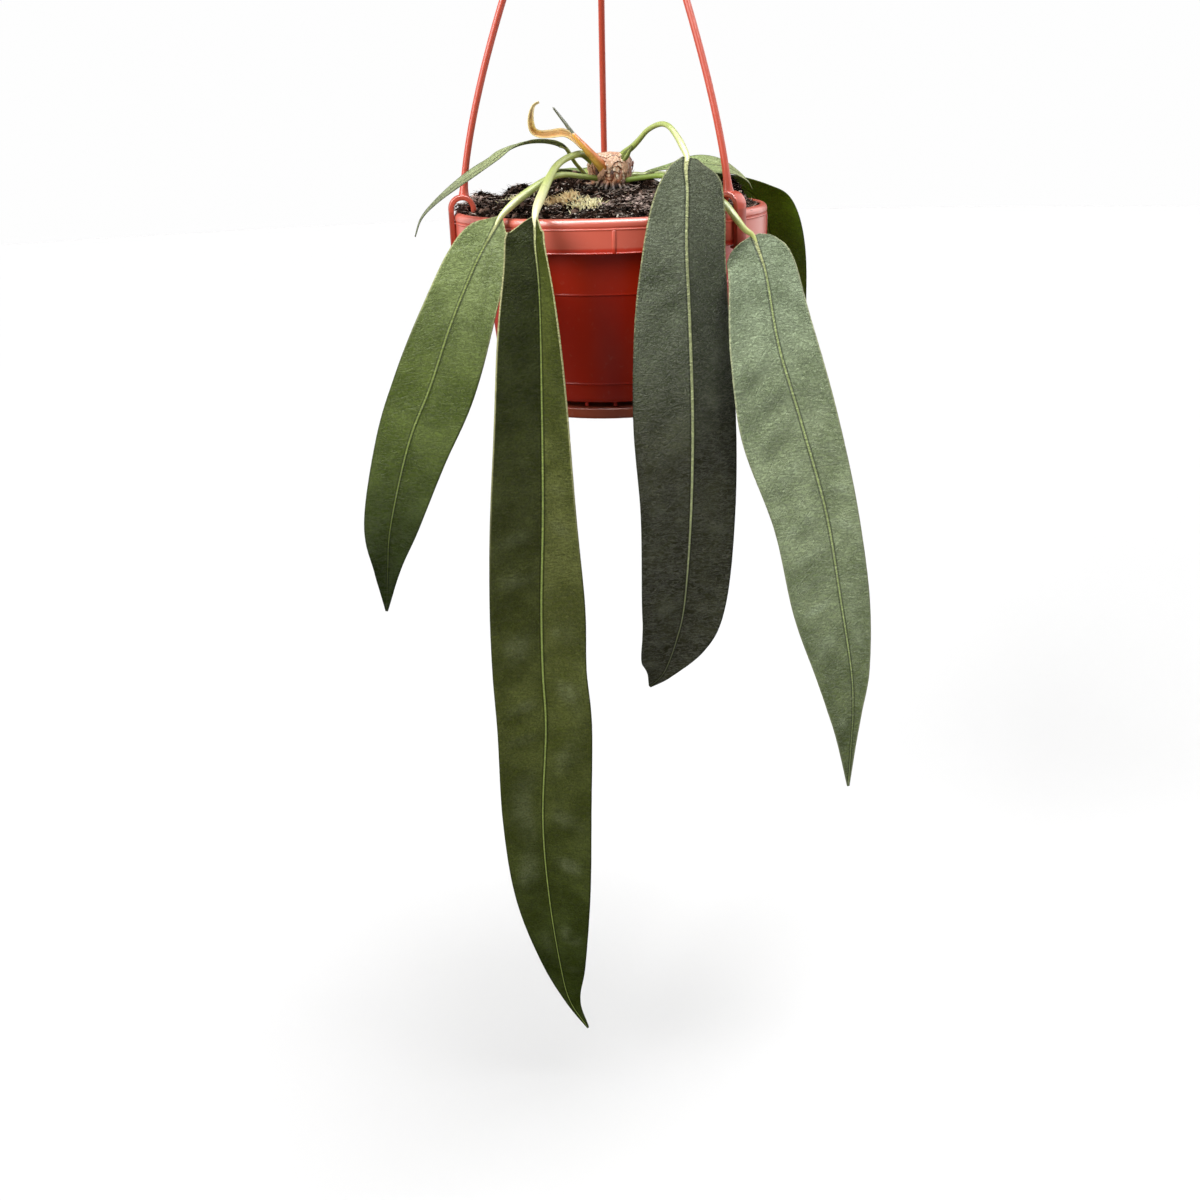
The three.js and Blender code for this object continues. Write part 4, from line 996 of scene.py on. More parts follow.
colour = blended(tree, ramped(tree, stains, 0.54, 0.66, 0.0, 0.5), colour, tone(220, 124, 62))
# The paper turns a darker red-brown towards the stem's right side.
right_side_brown = times(tree, ramped(tree, sides.outputs["X"], 0.0072, 0.011), 0.8)
colour = blended(tree, right_side_brown, colour, tone(128, 50, 30))
# The stem's foot, under its wider upper wraps, is painted near black, a painted shade.
foot_shade = ramped(tree, sides.outputs["Z"], RIM_TOP + 8.5 * MM, RIM_TOP + 12.5 * MM, 0.93, 0.0)
colour = blended(tree, foot_shade, colour, tone(30, 20, 15))
bump = bumped(tree, fibres, 1.0, 0.0006)
rough = ramped(tree, stains, 0.3, 0.7, 0.55, 0.8)
feed(tree, shader, Base_Color=colour, Roughness=rough, Normal=bump)

levels = np.linspace(0, len(RHIZOME_LEVELS) - 1, RHIZOME_RINGS)
angles = np.linspace(0, math.tau, RHIZOME_SIDES, endpoint=False)
layers = [(a, level, *paper_layers(a, level)) for level in levels for a in angles]
core_points = [on_rhizome(a, level, off * min(1.0, (6.9 - level) / 0.8)) for a, level, off, _ in layers]
core_light = [light for _, _, _, light in layers] + [0.5, 0.6]
top_height = max(spot[2] for spot in core_points)
core_points += [(*RHIZOME_PLACE, RHIZOME_LEVELS[0][0]), (*RHIZOME_PLACE, top_height + 0.6)]
core_faces = tube_faces(RHIZOME_RINGS, RHIZOME_SIDES)
core = closed_piece("rhizome_core", placed(core_points), core_faces, paper_skin, {"tint": core_light})
settle(core, "rhizome_skin", "rhizome")


def thin_body(upper, lower):
    """Points and faces of a closed thin body between two like grids of points."""
    rows, columns = upper.shape[:2]
    count = rows * columns
    points = np.concatenate([upper.reshape(-1, 3), lower.reshape(-1, 3)])
    index = np.arange(count).reshape(rows, columns)
    a, b, c, d = index[:-1, :-1], index[:-1, 1:], index[1:, 1:], index[1:, :-1]
    face = np.stack([a, d, c, b], axis=-1).reshape(-1, 4)
    faces = [face, count + face[:, ::-1]]
    for line, forward in ((index[:, 0], True), (index[:, -1], False), (index[0], False), (index[-1], True)):
        here, after = line[:-1], line[1:]
        strip = np.stack([here, count + here, count + after, after], axis=-1)
        faces.append(strip if forward else strip[:, ::-1])
    return points, faces


def surface_normals(grid):
    """The direction that a grid of points faces at each of its points."""
    down = np.gradient(grid, axis=0)
    across = np.gradient(grid, axis=1)
    normals = np.cross(down, across)
    return normals / np.maximum(np.linalg.norm(normals, axis=-1, keepdims=True), 1e-9)


def gathered(name, bodies, skin):
    """Many thin bodies as one closed piece. A body is its points, its faces and its tint."""
    points, faces, tints = [], [], []
    count = 0
    for body_points, body_faces, tint in bodies:
        points.append(body_points)
        faces += [group + count for group in body_faces]
        tints.append(np.full(len(body_points), tint))
        count += len(body_points)
    marks = {"tint": np.concatenate(tints)}
    return closed_piece(name, np.concatenate(points), [np.concatenate(faces)], skin, marks)


chance = random.Random(71)
flakes = []
for wrap in WRAPS:
    first, last = wrap["around"]
    for k in range(wrap["count"]):
        angle = first + (last - first) * (k + chance.uniform(-0.4, 0.4)) / wrap["count"]
        level, reach, width = (chance.uniform(*wrap[label]) for label in ("levels", "reaches", "widths"))
        slant, lift, torn = chance.uniform(-0.45, 0.45), chance.uniform(*wrap["lifts"]), chance.uniform(0, 9)
        flare = chance.uniform(0.2, 1.0) * wrap["flare"]
        grid = np.zeros((FLAKE_ROWS, FLAKE_COLUMNS, 3))
        for i, u in enumerate(np.linspace(0, 1, FLAKE_ROWS)):
            narrow = math.sin(math.pi * min(0.999, 0.16 + 0.8 * u)) ** 0.4
            for j, v in enumerate(np.linspace(-1, 1, FLAKE_COLUMNS)):
                ragged = 1 + 0.35 * noise.noise((3 * u + torn, 2 * v, torn))
                a = angle + slant * u + v * width * narrow * ragged
                tear = 0.5 * noise.noise((5 * v, torn, 1.0)) + 0.35 * noise.noise((13 * v, torn, 4.0))
                up = level + reach * (0.5 - u) + tear * (abs(u - 0.5) * 2) + 0.5 * slant * v
                off = lift + flare * max(0.0, u - 0.5) ** 1.5 * 2.4 - 0.25 * abs(v)
                off += 0.3 * noise.noise((6 * v, 4 * u, torn))
                grid[i, j] = on_rhizome(a, min(6.7, max(0.3, up)), max(0.1, off))
        grid = placed(grid)
        face = surface_normals(grid) * FLAKE_HALF * MM
        flakes.append((*thin_body(grid + face, grid - face), chance.uniform(*wrap["tints"])))
wraps = gathered("rhizome_wraps", flakes, paper_skin)
settle(wraps, "rhizome_skin", "rhizome")

strings = []
for _ in range(STRING_COUNT):
    angle, level = chance.uniform(0, math.tau), chance.uniform(0.8, 4.2)
    reach, drift, wild = chance.uniform(0.6, 2.6), chance.uniform(-0.5, 0.5), chance.random() ** 3
    line = []
    for u in np.linspace(0, 1, 7):
        lift = 0.45 + 2.6 * wild * u * u + 0.4 * noise.noise((u * 3, angle * 5, level))
        up = min(6.8, max(0.2, level + reach * (u - 0.5)))
        line.append(on_rhizome(angle + drift * u, up, max(0.2, lift)))
    strings.append((line, [0.16, 0.13, 0.07], chance.random()))
settle(rods("rhizome_strings", strings, 5, paper_skin), "rhizome_skin")

roots = []
for angle, reach, width in ROOTS:
    a, line = math.radians(angle), []
    for u in np.linspace(0, 1, 9):
        r = ROOT_START + (reach - ROOT_START) * u
        bent = a + 0.25 * noise.noise((u * 2, angle, 1.0))
        x, y = RHIZOME_PLACE[0] + r * math.cos(bent), RHIZOME_PLACE[1] + r * math.sin(bent)
        ground = soil_height(x, y)
        above = max(ground + 0.3, 12.5 - 9 * u ** 0.7)
        line.append((x, y, above if u < 0.8 else ground - 4 * (u - 0.8) * 5))
    roots.append((line, [width, width * 0.8, width * 0.5], chance.random()))
settle(rods("rhizome_roots", roots, 8, paper_skin), "rhizome_skin")


# Leaf blades: long leathery straps that hang from pale swollen joints. The midrib stands out above and
# forms a keel below, side veins run towards the tip, and the blade swells softly between them.
BLADE_HALF = 0.24
BLADE_ROUGHNESS = 0.4
PALE_GAIN = (1.24, 1.22, 1.26, 1)
HIGHLIGHT_GAIN = (1.5, 1.45, 1.4, 1)
DARK_GAIN = (0.69, 0.71, 0.64, 1)
PEBBLE_GAINS = [(0.86, 0.86, 0.84, 1), (1.14, 1.14, 1.14, 1)]
SLIM_WIDTH = 7
BLADE_PITCH = 1.5
RIB_RISE = 0.34
RIB_REACH = 1.05
KEEL_DEPTH = 0.9
KEEL_REACH = 1.5
INNER = np.array([0.3, 0.6, 0.9, 1.2, 1.55, 2.0])
OUTER = 17
WAVE_FULL_REACH = 8
RIGHT_WAVE_LAG = 2.1
VEIN_SLOPE = 0.7
VEIN_CURL = 0.012
VEIN_PITCH = 7.5
LEATHER_RELIEF = 0.13
GROOVE_DEPTH = 0.12
GROOVE_PLACE = 1.7
GROOVE_WIDTH = 0.55
JOINT_REACH = 6.5
JOINT_SINK = 0.8
PETIOLE_STEPS = 90
PETIOLE_SIDES = 16

veins, given, results = new_group("leaf_veins", [
    ("Phase", "Float", 0.0), ("Off", "Float", 0.01), ("Edge", "Float", 0.01), ("Rib half", "Float", 0.0006)],
    ["Line", "Rib", "Groove", "Margin"])
part = figure(veins, "FRACT", given["Phase"])
crest = times(veins, figure(veins, "ABSOLUTE", figure(veins, "SUBTRACT", part, 0.5)), 2.0)
line = ramped(veins, crest, 0.9, 1.0)
line = times(veins, line, ramped(veins, given["Off"], 0.0012, 0.003))
line = times(veins, line, ramped(veins, given["Edge"], 0.0015, 0.005))
hem_off = figure(veins, "ABSOLUTE", figure(veins, "SUBTRACT", given["Edge"], 0.0026))
hem = times(veins, ramped(veins, hem_off, 0.0001, 0.0004, 1.0, 0.0), 0.6)
veins.links.new(figure(veins, "MAXIMUM", line, hem), results["Line"])
inner = times(veins, given["Rib half"], 0.7)
outer = times(veins, given["Rib half"], 1.3)
veins.links.new(ramped(veins, given["Off"], inner, outer, 1.0, 0.0), results["Rib"])
groove = figure(veins, "SUBTRACT", given["Off"], times(veins, given["Rib half"], 1.6))
groove = figure(veins, "ABSOLUTE", groove)
veins.links.new(ramped(veins, groove, 0.00018, 0.0006, 1.0, 0.0), results["Groove"])
veins.links.new(ramped(veins, given["Edge"], 0.00035, 0.0009, 1.0, 0.0), results["Margin"])

grained, given, results = new_group(
    "leaf_grain", [("Place", "Vector", None)], ["Height", "Mottle", "Streak", "Pebble"])
across = add_node(grained, "ShaderNodeMapping", {
    "Vector": given["Place"], "Scale": (0.4, 0.4, 1.25)}).outputs[0]
wrinkles = cloudy(grained, across, 640.0, 2.5, Roughness=0.6, Distortion=0.8)
crease = figure(grained, "ABSOLUTE", figure(grained, "SUBTRACT", wrinkles, 0.5))
fine = cloudy(grained, given["Place"], 2300.0, 2.0)
cloud = cloudy(grained, given["Place"], 58.0, 4.0)
streak = ramped(grained, crease, 0.0, 0.07, 1.0, 0.0)
height = figure(grained, "MULTIPLY_ADD", fine, 0.35, times(grained, streak, 0.45))
pebble = cloudy(grained, given["Place"], 950.0, 2.0)
height = figure(grained, "MULTIPLY_ADD", pebble, 0.6, height)
grained.links.new(height, results["Height"])
grained.links.new(ramped(grained, pebble, 0.35, 0.65), results["Pebble"])
grained.links.new(ramped(grained, cloud, 0.36, 0.66), results["Mottle"])
grained.links.new(streak, results["Streak"])


def leaf_skin(name, top, centre, tip, rib, margin, bloom=0.7, rib_half=0.55, hem_dark=1.0, under_pale=0.35,
              halves=((1, 1, 1), (1, 1, 1)), turn_at=(0.02, 0.4, 0.45), even_at=(0.45, 0.65), grain_depth=0.9,
              rib_fade=0.3, sheen=0.0, sheen_tone=tone(116, 136, 104), highlight_sheen=0.0, gloss=0.14):
    """The leathery skin of one blade, from its base through its middle to its tip. These tones are partly the
    leaf's own green and partly painted light and shade. The halves are how much lighter or darker its left
    and right are painted, as painted light and shade on the two sides of its fold, and the shares along it
    where tones turn lie from 0 to 1."""
    skin, tree, shader = new_skin(name, Specular_IOR_Level=gloss)
    labels = ("along", "off", "edge", "vein", "under")
    along, off, edge, phase, under = (mark(tree, label) for label in labels)
    place = own_place(tree)
    rib_width = ramped(tree, along, 0.0, 0.07, 1.7 * rib_half * MM, rib_half * MM)
    rib_width = times(tree, rib_width, ramped(tree, along, 0.4, 1.0, 1.0, 0.5))
    lines = add_node(tree, "ShaderNodeGroup", {
        "Phase": phase, "Off": off, "Edge": edge, "Rib half": rib_width}, node_tree=veins)
    grain = add_node(tree, "ShaderNodeGroup", {"Place": place}, node_tree=grained)
    colour = blended(tree, ramped(tree, along, *turn_at[:2]), top, centre)
    colour = blended(tree, ramped(tree, along, turn_at[2], 0.95), colour, tip)
    # The left and right halves are painted lighter and darker near the base, as painted light and shade.
    painted_side_light = blended(tree, ramped(tree, mark(tree, "side"), -0.2, 0.2), *((*gain, 1) for gain in halves))
    painted_side_light = blended(tree, ramped(tree, along, *even_at), painted_side_light, (1, 1, 1, 1))
    colour = blended(tree, 1.0, colour, painted_side_light, "MULTIPLY")
    pale = blended(tree, 1.0, colour, PALE_GAIN, "MULTIPLY")
    pale = blended(tree, 0.04, pale, tone(150, 166, 134))
    # The fine grain lines are painted lighter, a painted highlight, mixed toward the sheen tone by a share
    # given per leaf.
    highlight_tone = blended(tree, 1.0, colour, HIGHLIGHT_GAIN, "MULTIPLY")
    highlight_tone = blended(tree, highlight_sheen, highlight_tone, sheen_tone)
    dark = blended(tree, 1.0, colour, DARK_GAIN, "MULTIPLY")
    # The deep tone is used for painted shade by the midrib and for the darker hem lower down.
    deep = blended(tree, 0.6, colour, tone(20, 26, 2))
    # Soft random patches are painted lighter, partly the leaf's own mottling and partly a painted sheen.
    colour = blended(tree, times(tree, grain.outputs["Mottle"], bloom), dark, pale)
    # The tops of the swellings are painted toward the sheen tone, a painted sheen.
    raised = figure(tree, "POWER", ramped(tree, mark(tree, "rise"), 0.0, 1.0), 1.5)
    broken = figure(tree, "MULTIPLY_ADD", grain.outputs["Mottle"], 0.8, 0.2)
    raised = times(tree, times(tree, raised, broken), sheen)
    raised = times(tree, raised, ramped(tree, along, 0.15, 0.5))
    colour = blended(tree, raised, colour, sheen_tone)
    grain_highlight = times(tree, grain.outputs["Streak"], 0.45 * grain_depth)
    colour = blended(tree, grain_highlight, colour, highlight_tone)
    speckle = blended(tree, grain.outputs["Pebble"], *PEBBLE_GAINS)
    colour = blended(tree, 1.0, colour, speckle, "MULTIPLY")
    colour = blended(tree, times(tree, lines.outputs["Line"], 0.1), colour, pale)
    # A dark line on each side of the midrib is painted shade in its groove.
    colour = blended(tree, times(tree, lines.outputs["Groove"], 0.95), colour, deep)
    rib_tone = blended(tree, ramped(tree, along, 0.0, 0.09), tone(222, 224, 160), rib)
    # The midrib is painted lightest along its crest and darker towards its sides, as painted highlight and
    # shade on its rounding.
    rib_inner, rib_outer = (times(tree, rib_width, share) for share in (0.2, 1.1))
    rib_tone = blended(tree, ramped(tree, off, rib_inner, rib_outer, 0.0, 0.35), rib_tone, deep)
    rib_share = ramped(tree, along, 0.55, 0.98, 1.0, 1.0 - rib_fade)
    colour = blended(tree, times(tree, lines.outputs["Rib"], rib_share), colour, rib_tone)
    hem = blended(tree, ramped(tree, along, 0.15, 0.42, 0.0, hem_dark), margin, deep)
    colour = blended(tree, times(tree, lines.outputs["Margin"], 0.8), colour, hem)
    lighter = blended(tree, under_pale, colour, tone(146, 158, 104))
    colour = blended(tree, under, colour, lighter)
    rough = figure(tree, "MULTIPLY_ADD", grain.outputs["Mottle"], 0.12, BLADE_ROUGHNESS)
    height = figure(tree, "MULTIPLY_ADD", lines.outputs["Line"], -0.2, grain.outputs["Height"])
    bump = bumped(tree, height, 1.0, 0.001 * grain_depth)
    feed(tree, shader, Base_Color=colour, Roughness=rough, Normal=bump)
    return skin


def travelled(points):
    """How far along a line each of its points lies."""
    return np.concatenate([[0], np.cumsum(np.linalg.norm(np.diff(points, axis=0), axis=1))])


def banked_side(forth, compass, bank):
    """The direction across a strap that runs forth, from its right side's compass angle and its bank."""
    side = np.stack([np.cos(compass), np.sin(compass), np.zeros_like(compass)], axis=-1)
    side -= forth * np.sum(side * forth, axis=-1, keepdims=True)
    side /= np.linalg.norm(side, axis=-1, keepdims=True)
    return side * np.cos(bank)[..., None] + np.cross(forth, side) * np.sin(bank)[..., None]


def across_blade(table, places, wave):
    """For each point across a blade: how far it lies off the midrib, on which side, how wide that half is
    there and how far the wave bows it up."""
    halves = []
    for sign, width in ((-1, table[:, 3]), (1, table[:, 4])):
        width = np.maximum(width, 0.5)[:, None]
        inner = INNER * np.minimum(1, width / SLIM_WIDTH)
        share = (np.arange(1, OUTER + 1) / OUTER) ** 0.92
        off = np.concatenate([inner, inner[:, -1:] + (width - inner[:, -1:]) * share], axis=1)
        lag = 0.0 if sign < 0 else RIGHT_WAVE_LAG
        ripple = wave[0] * np.sin(math.tau * wave[1] * places + wave[2] + lag)[:, None]
        bow = ripple * np.minimum(1, off / WAVE_FULL_REACH) * (off / width) ** 2
        halves.append((off, np.full_like(off, sign), np.broadcast_to(width, off.shape), bow))
    left, right = halves
    zero = np.zeros((len(table), 1))
    midrib = (zero, zero, (left[2][:, :1] + right[2][:, :1]) / 2, zero)
    return [np.concatenate([a[:, ::-1], b, c], axis=1) for a, b, c in zip(left, midrib, right)]


def swellings(gone, offs, widths, signs, swell, pitch, seed):
    """The soft swellings of both halves: their height, and how far each point is up or down in them."""
    bell = np.sin(math.pi * np.clip(offs / widths, 0, 1)) ** 1.3 * np.clip(widths / 14, 0, 1)
    pace = (gone - 0.6 * offs) / pitch + 0.8 * np.sin(gone / 41 + seed + signs)
    pace = pace + 0.35 * np.sin(gone / 15 + 3 * seed - 2 * signs)
    strength = swell * (0.6 + 0.4 * np.sin(gone / 33 + 2 * seed + 2.2 * signs))
    rise = bell * np.sin(math.tau * pace + 1.7 * signs + seed)
    return strength * rise, rise


def blade_piece(name, rows, wave, skin, quilt=0.05, swell=0.45, swell_pitch=24.0, seed=0.0):
    """A blade from rows of its midrib's point, half-widths to the left and right, the compass angle of its
    right-hand side, how far that side is banked up and how far both halves are folded up."""
    dense = np.linspace(0, 1, 1501)
    run = travelled(along_rows(rows, dense)[:, :3])
    gone = np.linspace(0, run[-1], max(40, int(run[-1] / BLADE_PITCH)) + 1)
    places = np.interp(gone, run, dense)
    table = along_rows(rows, places)
    ahead, behind = (along_rows(rows, np.clip(places + step, 0, 1))[:, :3] for step in (1e-3, -1e-3))
    forth = ahead - behind
    forth /= np.linalg.norm(forth, axis=1, keepdims=True)
    compass, bank, fold = (np.radians(table[:, k]) for k in (5, 6, 7))
    side = banked_side(forth, compass, bank)
    facing = np.cross(forth, side)
    offs, signs, widths, bows = across_blade(table, places, wave)
    reach = (signs * offs * np.cos(fold)[:, None])[..., None]
    lift = (offs * np.sin(fold)[:, None] + bows)[..., None]
    sheet = table[:, None, :3] + side[:, None] * reach + facing[:, None] * lift

    gone = gone[:, None]
    edges = widths - offs
    phase = (gone - VEIN_SLOPE * offs - VEIN_CURL * offs ** 2) / VEIN_PITCH + 0.25 * (1 + signs)
    room = np.clip((offs - 1.8) / 3, 0, 1) * np.clip(edges / 4, 0, 1) * np.clip(widths / 9, 0, 1)
    raised, rise = swellings(gone, offs, widths, signs, swell, swell_pitch, seed)
    relief = quilt * np.cos(math.tau * phase) * room + raised
    leather = [noise.noise((x / 3.4, y / 3.4, z / 2.6)) + 0.6 * noise.noise((x / 9, y / 9, z / 6))
               for x, y, z in sheet.reshape(-1, 3).tolist()]
    relief = relief + LEATHER_RELIEF * np.array(leather).reshape(offs.shape) * room
    relief -= GROOVE_DEPTH * np.exp(-((offs - GROOVE_PLACE) / GROOVE_WIDTH) ** 2) * np.clip(widths / 8, 0, 1)
    slim = np.minimum(1, widths / SLIM_WIDTH)
    rib = RIB_RISE * np.cos(0.5 * math.pi * np.clip(offs / (RIB_REACH * slim), 0, 1)) ** 1.4
    rib = rib * (1 - 0.55 * places[:, None]) * slim
    keel = KEEL_DEPTH * np.cos(0.5 * math.pi * np.clip(offs / (KEEL_REACH * slim), 0, 1)) ** 1.4
    keel = keel * (1 - 0.8 * places[:, None]) * slim
    half = BLADE_HALF * (0.75 + 0.25 * np.clip(edges / 2, 0, 1))
    face = surface_normals(sheet)
    upper = sheet + face * (relief + half + rib)[..., None]
    lower = sheet + face * (relief - half - keel)[..., None]
    points, faces = thin_body(upper, lower)
    on_both_faces = {
        "along": np.broadcast_to(gone / gone[-1], offs.shape), "off": offs * MM, "edge": edges * MM,
        "vein": phase, "side": signs * np.minimum(offs, 1), "rise": rise,
    }
    marks = {label: np.tile(values.ravel(), 2) for label, values in on_both_faces.items()}
    marks["under"] = np.repeat([0.0, 1.0], offs.size)
    return closed_piece(name, placed(points), faces, skin, marks)


def centripetal(spots, places):
    """Points on a smooth line through spots whose spacing varies, evenly placed along its length."""
    spots = np.asarray(spots, float)
    padded = np.vstack([2 * spots[0] - spots[1], spots, 2 * spots[-1] - spots[-2]])
    dense = []
    for k in range(1, len(padded) - 2):
        a, b, c, d = padded[k - 1:k + 3]
        first, second, third = (math.sqrt(np.linalg.norm(q - p)) for p, q in ((a, b), (b, c), (c, d)))
        leave = ((b - a) / first - (c - a) / (first + second) + (c - b) / second) * second
        arrive = ((c - b) / second - (d - b) / (second + third) + (d - c) / third) * second
        steps = np.linspace(0, 1, 24, endpoint=k == len(padded) - 3)
        dense += [cubic(u, b, c, leave, arrive) for u in steps]
    dense = np.array(dense)
    run = travelled(dense)
    return np.stack([np.interp(np.asarray(places) * run[-1], run, dense[:, k]) for k in range(3)], axis=-1)


def stem_skin(name, root, middle_tone, joint):
    """A petiole's skin: green above the ground, paling to the swollen joint at the blade."""
    skin, tree, shader = new_skin(name)
    along = mark(tree, "along")
    place = own_place(tree)
    cloud = cloudy(tree, place, 240.0, 4.0)
    fine = cloudy(tree, place, 1700.0, 2.0)
    colour = blended(tree, ramped(tree, along, 0.0, 0.35), root, middle_tone)
    colour = blended(tree, ramped(tree, along, 0.6, 0.92), colour, joint)
    spotted = blended(tree, 0.3, colour, tone(120, 112, 50))
    colour = blended(tree, ramped(tree, cloud, 0.52, 0.72, 0.0, 0.6), colour, spotted)
    rough = ramped(tree, cloud, 0.3, 0.7, 0.36, 0.5)
    bump = bumped(tree, fine, 0.3, 0.0002)
    feed(tree, shader, Base_Color=colour, Roughness=rough, Normal=bump)
    return skin


def petiole_piece(name, rows, spots, radii, skin):
    """A leaf's stalk, through its own points and into the underside of its blade's base."""
    near = along_rows(rows, np.linspace(0, 0.4, 81))[:, :3]
    start, inside = near[0], near[np.searchsorted(travelled(near), JOINT_REACH)]
    forth = (inside - start) / np.linalg.norm(inside - start)
    side = banked_side(forth, *np.radians(rows[0][5:7]))
    inside = inside - JOINT_SINK * np.cross(forth, side)
    steps = np.linspace(0, 1, PETIOLE_STEPS)
    line = centripetal([*spots, start, inside], steps)
    swelling = np.interp(steps, np.linspace(0, 1, len(radii) + 1), [*radii, radii[-1] * 0.35])
    smooth = np.convolve(np.pad(swelling, 6, mode="edge"), np.ones(13) / 13, mode="valid")
    return rods(name, [(line, smooth, 0.0)], PETIOLE_SIDES, skin)


green_stem = stem_skin("green_petiole", tone(134, 156, 58), tone(180, 194, 106), tone(214, 220, 148))
cream_stem = stem_skin("cream_petiole", tone(152, 172, 74), tone(190, 202, 116), tone(242, 238, 182))
lime_stem = stem_skin("lime_petiole", tone(116, 140, 52), tone(134, 158, 64), tone(212, 220, 128))
pale_stem = stem_skin("pale_petiole", tone(118, 138, 56), tone(160, 176, 84), tone(196, 204, 124))


def leaf(name, slot, rows, wave, petiole, petiole_radii, skin, stem=green_stem, **form):
    """One leaf: its blade and its petiole, fixed where the leaf's node is."""
    settle(blade_piece(name + "_blade", rows, wave, skin, **form), slot, name)
    settle(petiole_piece(name + "_petiole", rows, petiole, petiole_radii, stem), slot, name)


# First strap leaf: mid green, with a pale fine rim. It hangs over the rim to the left of the pot, on a
# petiole that swells to a joint at the blade, and it is twisted a little to the side.
leaf(
    "leaf_1", "leaf_green",
    rows=[
        (-48, -62, 1, 1.2, 1.2, 0, 0, 0), (-53, -66, -7, 10.5, 9.2, 0, 0, 4),
        (-60, -72, -19, 13.8, 15.4, -8, 0, 6), (-71, -78, -42, 14.8, 19.8, -10, 0, 6),
        (-82, -80, -69, 16.5, 20.5, -10, 0, 4), (-94, -80, -95, 15, 19, -8, 0, 4),
        (-106, -77, -134, 12.5, 13, -4, 0, 6), (-110, -74, -157, 6.5, 6, 0, 0, 8),
        (-113, -71, -179, 0.6, 0.6, 0, 0, 8),
    ],
    wave=(0.8, 2.5, 0.4),
    petiole=[
        (-5, -6, 13), (-14, -20, 15), (-20, -28, 16.2), (-25, -36, 16), (-30, -43, 14), (-36, -50, 10.5),
        (-42, -57, 6.5),
    ],
    petiole_radii=[1.3, 1.2, 1.25, 1.5, 1.8, 1.8],
    skin=leaf_skin(
        "leaf_1_skin", top=tone(134, 150, 92), centre=tone(102, 118, 50), tip=tone(40, 52, 2),
        rib=tone(146, 162, 86), margin=tone(190, 196, 136), rib_half=0.44, turn_at=(0.0, 0.42, 0.4),
        halves=((1.05, 1.05, 1.05), (0.88, 0.88, 0.88)), even_at=(0.7, 0.95), grain_depth=0.6, rib_fade=0.9,
        gloss=0.09,
    ),
    seed=1.0,
)


# Second strap leaf: the longest, dark olive, folded in a V under the rim and opening out below, with soft
# swellings on both sides of its midrib whose tops are painted pale, a painted sheen.
leaf(
    "leaf_2", "leaf_green",
    rows=[
        (-32, -78, 2, 1.2, 1.2, -24, 0, 28), (-32, -79.7, -1.4, 7.6, 3.2, -24, 0, 28),
        (-32, -81.7, -5.4, 11.4, 5, -24, 0, 28), (-32, -84, -10, 13.8, 6.5, -24, 0, 28),
        (-31, -88, -31, 17, 9.6, -20, 0, 24), (-32, -90, -72, 20.5, 12, -14, 0, 14),
        (-34, -90, -124, 24, 15.5, -6, 0, 6), (-37, -89, -171, 24, 20.5, 0, 0, 4),
        (-38, -88.5, -205, 24, 21, 2, 0, 4), (-38, -88, -236, 23.5, 22.5, 4, 0, 4),
        (-42, -86, -288, 20, 24.5, 4, 0, 4), (-41, -84, -335, 17, 21.5, 0, 0, 6),
        (-37, -82, -380, 8, 13.5, 0, 0, 8), (-33, -81, -403, 2.5, 6, 0, 0, 10),
        (-24, -80, -422, 0.6, 0.6, 0, 0, 10),
    ],
    wave=(1.2, 5.833, -4.136),
    petiole=[
        (-6, -3, 19), (-12, -8, 24), (-17, -16, 23.8), (-21, -24, 22.3), (-24, -34, 20), (-26, -45, 17),
        (-28, -56, 13), (-30, -66, 8.5), (-31.5, -74, 4.8),
    ],
    petiole_radii=[1.9, 1.5, 1.5, 1.7, 2.0, 2.1],
    skin=leaf_skin(
        "leaf_2_skin", top=tone(70, 80, 24), centre=tone(88, 94, 42), tip=tone(50, 60, 10),
        rib=tone(156, 172, 92), margin=tone(214, 212, 154), rib_half=0.48,
        halves=((0.47, 0.47, 0.42), (1.25, 1.2, 1.5)), even_at=(0.3, 0.6), grain_depth=0.75, rib_fade=0.1,
        sheen=0.42, sheen_tone=tone(118, 124, 94), gloss=0.04,
    ),
    stem=cream_stem, swell=0.9, swell_pitch=44.0, seed=2.3,
)


